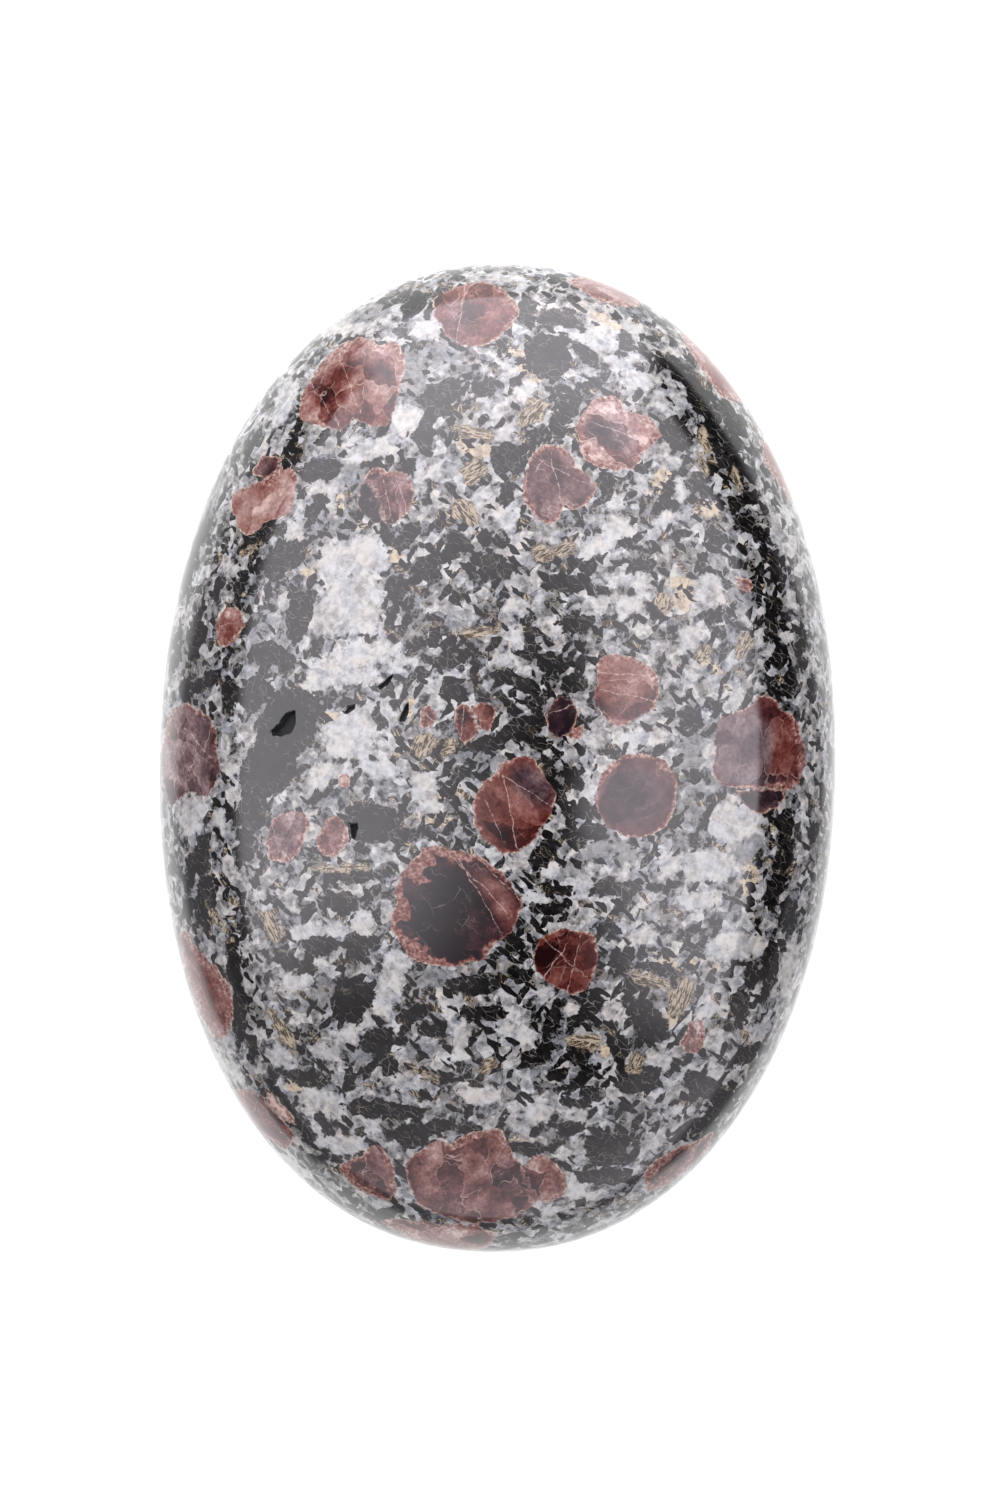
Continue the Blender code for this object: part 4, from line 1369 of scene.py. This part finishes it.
    def paint(self, mesh: bpy.types.Mesh) -> None:
        """Writes where every crystal and patch lies as smooth distances on the mesh, in millimetres."""
        points = read(mesh.vertices, "co")
        canvas = Canvas(points, self.camera.plan(points), read(mesh.vertex_normals, "vector"))
        for crystal in CRYSTALS:
            canvas.seen_crystal(crystal)
        for blotch in BLOTCHES_AND_HIGHLIGHT:
            canvas.seen_blotch_or_highlight(blotch)
        for grain, patches in PATCHES.items():
            for patch in patches:
                canvas.seen_patch(grain, patch)
        canvas.hidden(self)
        canvas.write(mesh)

    def build(self) -> bpy.types.Object:
        """Makes the whole stone.

        Returns:
            The stone's object.
        """
        mesh = self.oval(self.finish.build())
        self.settle(mesh)
        self.sink_pits(mesh)
        self.paint(mesh)
        mesh.shade_smooth()
        stone = bpy.data.objects.new("palm_stone", mesh)
        bpy.context.scene.collection.objects.link(stone)
        return stone


def read(items: bpy.types.bpy_prop_collection, name: str) -> np.ndarray:
    """One of the vectors that each point or face of a mesh has, one to a row."""
    flat = np.empty(3 * len(items))
    items.foreach_get(name, flat)
    return flat.reshape(-1, 3)


def write_points(mesh: bpy.types.Mesh, points: np.ndarray) -> None:
    """Moves the mesh's points."""
    mesh.vertices.foreach_set("co", points.ravel())
    mesh.update()


def note(mesh: bpy.types.Mesh, name: str, values: np.ndarray) -> None:
    """Writes numbers or vectors on the mesh's points.

    Args:
        mesh: The mesh.
        name: The attribute's name.
        values: One number or one row of three to a point.
    """
    kind = "FLOAT" if values.ndim == 1 else "FLOAT_VECTOR"
    made = mesh.attributes.new(name, kind, "POINT")
    made.data.foreach_set("value" if values.ndim == 1 else "vector", values.ravel())


class Canvas:
    """What is painted on the stone's points: distances into crystals and patches, and their traits.

    Attributes:
        FAR: The distance, in millimetres, where there is nothing.
        CLEAR: The distance beside a crack where there is none.
        FACET_STEP: How far apart two crystals' own patterns are read, in millimetres.
        BELOW: What is added to a distance seen from above where the point faces down.
        BALL: How much larger than a shape the ball about it is, as a share and in millimetres.
        BLOTCH_EDGE: Half the width of a blotch's edge, in millimetres.
        LOW: How much a point may face up for something hidden to lie there.
        FADE: How far hidden things sink where the stone faces up, in millimetres, and how much it
            then faces up.
        BALL_HIDDEN: How far a hidden crystal may reach, as a share of its size.
        GRAIN_SHARES: How often each kind of patch is drawn for the hidden faces.
    """

    FAR = -3.0
    CLEAR = 9.0
    FACET_STEP = 17.3
    BELOW = 50.0
    BALL = (1.35, 0.6)
    BLOTCH_EDGE = 0.35
    LOW = 0.05
    FADE = (3.0, 0.35)
    BALL_HIDDEN = 1.4
    GRAIN_SHARES = (0.46, 0.36, 0.06, 0.06, 0.06)

    def __init__(self, points: np.ndarray, plan: np.ndarray, normals: np.ndarray) -> None:
        """Starts with bare rock.

        Args:
            points: The stone's points, in metres.
            plan: The points as seen from above, in millimetres.
            normals: The outward direction at each point.
        """
        self.points = points / MM
        self.plan = plan
        self.normals = normals
        self.upward = normals[:, 2]
        count = len(points)
        self.crystal = np.full(count, self.FAR)
        self.traits = np.zeros((count, 3))
        self.facets = self.points.copy()
        self.cracks = np.full((count, 3), self.CLEAR)
        self.dusk = np.zeros(count)
        self.lie = self.points.copy()
        self.nearest = np.full(count, self.FAR)
        self.count = 0
        self.patches = {grain: np.full(count, self.FAR) for grain in Grain}

    def add_crystal(self, near: np.ndarray, distance: np.ndarray, local: np.ndarray,
                    look: tuple[float, float], rim: np.ndarray, lie: float) -> np.ndarray:
        """Paints one crystal over what is there.

        Args:
            near: The points that it may reach.
            distance: How far each of them is inside the crystal.
            local: They in the crystal's own plane.
            look: Its tone and its swing.
            rim: The width of its pale rim at each of them.
            lie: The direction of its main cracks.

        Returns:
            Which of the points it has taken.
        """
        closer = distance > self.crystal[near]
        spots = near[closer]
        self.crystal[spots] = distance[closer]
        traits = np.empty((len(spots), 3))
        traits[:, :2] = look
        traits[:, 2] = rim[closer]
        self.traits[spots] = traits
        own = turned(local, lie) + self.FACET_STEP * self.count
        self.facets[spots, :2] = own[closer]
        self.count += 1
        return closer

    def add_patch(self, near: np.ndarray, grain: Grain, distance: np.ndarray,
                  local: np.ndarray) -> None:
        """Paints one patch over what is there."""
        values = self.patches[grain]
        values[near] = np.maximum(values[near], distance)
        closer = distance > self.nearest[near]
        spots = near[closer]
        self.nearest[spots] = distance[closer]
        self.lie[spots, :2] = local[closer]

    def seen_near(self, middle: np.ndarray, size: float) -> tuple[np.ndarray, np.ndarray]:
        """The points that a shape that is seen from above may reach.

        Args:
            middle: The shape's middle as seen from above.
            size: The shape's half length.

        Returns:
            Those points, and how far each is inside a ball about the shape, a little larger than
            the shape, that keeps it from coming out on the underside too.
        """
        gap = np.linalg.norm(self.plan - middle, axis=1)
        heart = self.points[np.argmin(gap + np.where(self.upward > 0.0, 0.0, self.BELOW))]
        near = np.nonzero(gap < size - self.FAR)[0]
        away = np.linalg.norm(self.points[near] - heart, axis=1)
        share, margin = self.BALL
        return near, share * size + margin - away

    def seen_crystal(self, crystal: Crystal) -> None:
        """Paints a crystal that is seen from above."""
        corners = np.asarray(crystal.outline)
        middle = corners.mean(axis=0)
        size = float(np.linalg.norm(corners - middle, axis=1).max())
        near, held = self.seen_near(middle, size)
        plan = self.plan[near]
        distance = np.minimum(inside_distance(plan, crystal.outline), held)
        local = plan - middle
        depth, swing = crystal.tone.value
        look = (depth + crystal.shift, swing)
        closer = self.add_crystal(near, distance, local, look, crystal.rim_at(local), crystal.lie)
        self.cracks[near[closer]] = crystal.beside_cracks(plan[closer])
        self.dusk[near[closer]] = crystal.dusk

    def seen_blotch_or_highlight(self, blotch: Sequence[float]) -> None:
        """Deepens, pales or clouds a place inside a crystal that is seen from above; one such place is
        a painted highlight.
        """
        across, along, length, width, turn, rise, dusk = blotch
        local = turned(self.plan - (across, along), turn)
        inside = oval_distance(local, length, width)
        share = step_between(inside, -self.BLOTCH_EDGE, self.BLOTCH_EDGE)
        share *= self.upward > 0.0
        self.traits[:, 0] += rise * share
        self.dusk += dusk * share

    def seen_patch(self, grain: Grain, patch: Sequence[float]) -> None:
        """Paints a patch that is seen from above."""
        across, along, length, width = (tenth / 10 for tenth in patch[:4])
        middle = np.array([across, along])
        near, held = self.seen_near(middle, 0.5 * length)
        local = turned(self.plan[near] - middle, patch[4])
        self.add_patch(near, grain, np.minimum(oval_distance(local, length, width), held), local)

    def hidden(self, stone: PalmStone) -> None:
        """Strews more crystals and patches over the sides and the underside, as the stone asks."""
        draw = np.random.default_rng(stone.hidden_seed)
        low = np.nonzero(self.upward < self.LOW)[0]
        depth, faces_up = self.FADE
        sink = depth * step_between(self.upward, 0.0, faces_up)
        tones = tuple(Tone)
        for _ in range(stone.hidden_crystals):
            size = draw.uniform(0.8, 1.6) ** 2.0
            near, local, away = self.tangent(draw.choice(low), self.BALL_HIDDEN * size)
            corners = int(draw.integers(7, 11))
            turns = np.sort(draw.uniform(0.0, 0.5, corners) + np.arange(corners)) / corners
            reach = size * draw.uniform(0.72, 1.15, corners)
            outline = [(r * math.cos(math.tau * t), 0.85 * r * math.sin(math.tau * t))
                       for r, t in zip(reach, turns)]
            held = self.BALL_HIDDEN * size - away
            distance = np.minimum(inside_distance(local, outline), held) - sink[near]
            look = tones[int(draw.integers(len(tones)))].value
            rim = np.full(len(near), draw.uniform(0.10, 0.30))
            self.add_crystal(near, distance, local, look, rim, draw.uniform(0.0, 180.0))
        grains = tuple(Grain)
        for _ in range(stone.hidden_patches):
            length = draw.uniform(1.0, 4.2)
            width = length * draw.uniform(0.28, 0.75)
            near, local, away = self.tangent(draw.choice(low), length)
            local = turned(local, draw.uniform(0.0, 180.0))
            distance = np.minimum(oval_distance(local, length, width), length - away) - sink[near]
            kind = int(draw.choice(len(grains), p=self.GRAIN_SHARES))
            self.add_patch(near, grains[kind], distance, local)

    def tangent(self, index: int, size: float) -> tuple[np.ndarray, np.ndarray, np.ndarray]:
        """The points as seen square on from outside one of them.

        Args:
            index: That point.
            size: How far out points still matter, in millimetres.

        Returns:
            The points that matter, they in that view's plane, and how far each is from the point.
        """
        out = self.points - self.points[index]
        away = np.linalg.norm(out, axis=1)
        near = np.nonzero(away < size - self.FAR)[0]
        normal = self.normals[index]
        aside = np.cross(normal, (0.0, 1.0, 0.0))
        aside /= np.linalg.norm(aside)
        ahead = np.cross(normal, aside)
        return near, np.stack([out[near] @ aside, out[near] @ ahead], axis=1), away[near]

    def write(self, mesh: bpy.types.Mesh) -> None:
        """Keeps what is painted as attributes of the mesh."""
        self.dusk = np.clip(self.dusk, 0.0, 1.0)
        for name in ("crystal", "traits", "facets", "cracks", "dusk", "lie"):
            note(mesh, name, getattr(self, name))
        for grain, values in self.patches.items():
            note(mesh, grain.value[0], values)


@dataclass(frozen=True)
class Table:
    """A wide pale table top, plain white to the eye. In what the polish mirrors and in light bounced
    off it, it greys further out: painted shade for the unlit room round the table.

    Attributes:
        size: Its width, in metres.
        white: Its colour.
        grey: Its painted shade further out, in what the polish mirrors and in light bounced off it.
        card: How far out it is white there, across and towards the front, in metres.
        spread: How much wider it is white for each metre towards the back, in metres.
        askew: How far that widening leans to the right, as a share of it.
        fade: How much further out it has turned grey, as a share.
        roughness: Its roughness.
    """

    size: float = 8.0
    white: Colour = (0.955, 0.99, 0.93, 1.0)
    grey: Colour = (0.17, 0.17, 0.175, 1.0)
    card: Span = (0.034, 0.072)
    spread: float = 0.9
    askew: float = 0.35
    fade: float = 1.5
    roughness: float = 0.6

    def build(self) -> bpy.types.Object:
        """Makes the table top at the level that the stone rests on.

        Returns:
            The table top.
        """
        work = bmesh.new()
        bmesh.ops.create_grid(work, x_segments=8, y_segments=8, size=0.5 * self.size)
        mesh = bpy.data.meshes.new("table")
        work.to_mesh(mesh)
        work.free()
        material = bpy.data.materials.new("pale_table")
        material.use_nodes = True
        shader = material.node_tree.nodes["Principled BSDF"]
        shader.inputs["Roughness"].default_value = self.roughness
        sheet = Sheet(material.node_tree)
        across, along, _ = sheet.parts(sheet.node("ShaderNodeTexCoord").outputs["Object"])
        back = sheet.times(sheet.larger(along, 0.0), self.spread)
        across = sheet.weighed(back, -self.askew, across)
        aside = sheet.sum("DIVIDE", sheet.minus(sheet.unsigned(across), back), self.card[0])
        out = sheet.larger(aside, sheet.sum("DIVIDE", along, -self.card[1]))
        # The camera sees white all over; other rays see the grey further out, which is painted shade of
        # the unlit room.
        seen = sheet.node("ShaderNodeLightPath").outputs["Is Camera Ray"]
        share = sheet.lerp(seen, sheet.grade(out, 1.0, self.fade), 0.0)
        sheet.feed(shader.inputs["Base Color"], sheet.mix(share, self.white, self.grey))
        mesh.materials.append(material)
        table = bpy.data.objects.new("table", mesh)
        bpy.context.scene.collection.objects.link(table)
        return table


@dataclass(frozen=True)
class LightTent:
    """White cloth lit from behind on the left, the right and at the head, open above the camera.

    A direction is read by its tilt, in degrees from straight up, and by how far it points
    sideways, from -1 on the left to 1 on the right, and ahead, from -1 at the front to 1.

    Attributes:
        tint: The light's colour.
        cloth: How bright the cloth is.
        ends: How far ahead the cloth is whole, and how far ahead it begins high up and low down.
        ends_tilt: The tilts of high up and low down.
        ends_turn: How far the cloth's ends are turned to the right.
        hem: How far down the cloth hangs, as a tilt.
        hem_slant: How much further down it hangs on the left than in the middle.
        hem_soft: Half the width of its lower edge.
        head: How much brighter the cloth's low part at the head is.
        head_aside: How far to the left that part lies.
        head_sides: How far sideways it has ended, and how far it is whole.
        head_tilt: The tilts between which it brightens.
        hole: The tilt at which the opening above the camera begins to end.
        hole_edge: The tilt at which it has ended.
        hole_slant: How much further it reaches on the left than in the middle.
        hole_back: How much further it reaches at the head.
        opening: How bright it is there.
        front: How bright the room is before the open front.
        sill: The tilts between which the front begins.
        sill_slant: How much lower it begins on the right than in the middle.
        apron: How much brighter it is lower down.
        apron_tilt: The tilts between which it brightens.
        front_ahead: How far ahead it begins, and how far it is whole.
        front_left: How far to the left it begins to dim, how far it has, and what is left of it.
        gap: How bright it is under the cloth's lower edge on the left.
        gap_right: The same on the right.
        gap_sides: How far sideways left and right are.
        gap_tilt: The tilts between which the opening turns into the gap.
    """

    tint: Colour = (1.0, 0.957, 1.03, 1.0)
    cloth: float = 3.35
    ends: Triple = (-0.33, -1.02, -0.75)
    ends_tilt: Span = (30.0, 50.0)
    ends_turn: float = 0.14
    hem: float = 68.0
    hem_slant: float = 6.5
    hem_soft: float = 1.5
    head: float = 1.9
    head_aside: float = 0.08
    head_sides: Span = (0.64, 0.52)
    head_tilt: Span = (34.0, 50.0)
    hole: float = 2.0
    hole_edge: float = 24.0
    hole_slant: float = 13.0
    hole_back: float = 10.0
    opening: float = 0.03
    front: float = 1.0
    sill: Span = (36.5, 43.5)
    sill_slant: float = 12.0
    apron: float = 0.85
    apron_tilt: Span = (50.0, 90.0)
    front_ahead: Span = (-0.25, -0.70)
    front_left: Triple = (-0.20, -0.70, 0.60)
    gap: float = 0.22
    gap_right: float = 0.03
    gap_sides: Span = (-0.3, 0.6)
    gap_tilt: Span = (40.0, 66.0)

    def build(self) -> None:
        """Writes the world. To the camera itself it is plain white."""
        world = bpy.data.worlds.new("light_tent")
        world.use_nodes = True
        bpy.context.scene.world = world
        world.cycles.sampling_method = "NONE"
        sheet = Sheet(world.node_tree)
        right, ahead, up = sheet.parts(sheet.node("ShaderNodeTexCoord").outputs["Generated"])
        level = sheet.sum("SQRT", sheet.plus(sheet.times(right, right), sheet.times(ahead, ahead)))
        level = sheet.larger(level, 0.001)
        tilt = sheet.sum("DEGREES", sheet.sum("ARCCOSINE", up))
        sideways = sheet.sum("DIVIDE", right, level)
        headway = sheet.sum("DIVIDE", ahead, level)

        head, cloth = self.hung(sheet, tilt, sideways, headway)
        bright = sheet.times(head, sheet.grade(tilt, *self.head_tilt))
        cloth = sheet.times(cloth, sheet.weighed(bright, self.head, self.cloth))
        sill = sheet.weighed(sideways, -self.sill_slant, tilt)
        front = sheet.weighed(sheet.grade(tilt, *self.apron_tilt), self.apron,
                              sheet.grade(sill, *self.sill, 0.0, self.front))
        front = sheet.times(front, sheet.grade(headway, *self.front_ahead))
        begins, ends, left = self.front_left
        front = sheet.times(front, sheet.grade(sideways, begins, ends, 1.0, left))
        gap = sheet.grade(sideways, *self.gap_sides, self.gap, self.gap_right)
        dim = sheet.lerp(sheet.grade(tilt, *self.gap_tilt), self.opening, gap)
        light = sheet.larger(sheet.larger(dim, cloth), front)
        seen = sheet.node("ShaderNodeLightPath").outputs["Is Camera Ray"]
        background = world.node_tree.nodes["Background"]
        sheet.feed(background.inputs["Color"], self.tint)
        sheet.feed(background.inputs["Strength"], sheet.lerp(seen, light, 1.0))

    def hung(self, sheet: Sheet, tilt: Socket, sideways: Socket,
             headway: Socket) -> tuple[Socket, Socket]:
        """Where the cloth hangs.

        Args:
            sheet: The world's sheet.
            tilt: The direction's tilt.
            sideways: How far it points to the right.
            headway: How far it points ahead.

        Returns:
            The share of the cloth's part at the head, and the share of cloth.
        """
        hem = sheet.weighed(sideways, -self.hem_slant, self.hem)
        hung = sheet.grade(sheet.minus(tilt, hem), self.hem_soft, -self.hem_soft)
        behind = sheet.unsigned(sheet.plus(sideways, self.head_aside))
        head = sheet.times(sheet.grade(behind, *self.head_sides), sheet.grade(headway, 0.0, 0.1))
        edge = sheet.weighed(sideways, -self.hole_slant, self.hole_edge)
        edge = sheet.weighed(headway, self.hole_back, edge)
        cloth = sheet.times(sheet.larger(hung, head), sheet.grade(tilt, self.hole, edge))
        whole, high, low = self.ends
        begins = sheet.grade(tilt, *self.ends_tilt, high, low)
        ends = sheet.weighed(sideways, self.ends_turn, headway)
        return head, sheet.times(cloth, sheet.grade(ends, begins, whole))


def main() -> None:
    """Builds the tent, the table, the camera and the stone, hangs the stone on the root body and hides
    the imported part.
    """
    logging.basicConfig(level=logging.INFO, format="%(name)s: %(message)s")
    bpy.context.scene.view_settings.view_transform = "Standard"
    LightTent().build()
    Table().build()
    stone = PalmStone()
    stone.camera.build()
    palm_stone = stone.build()
    palm_stone.data.calc_loop_triangles()
    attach(palm_stone, "root")
    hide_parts(NODE)
    LOG.info("%s has %d triangles", palm_stone.name, len(palm_stone.data.loop_triangles))


if __name__ == "__main__":
    main()
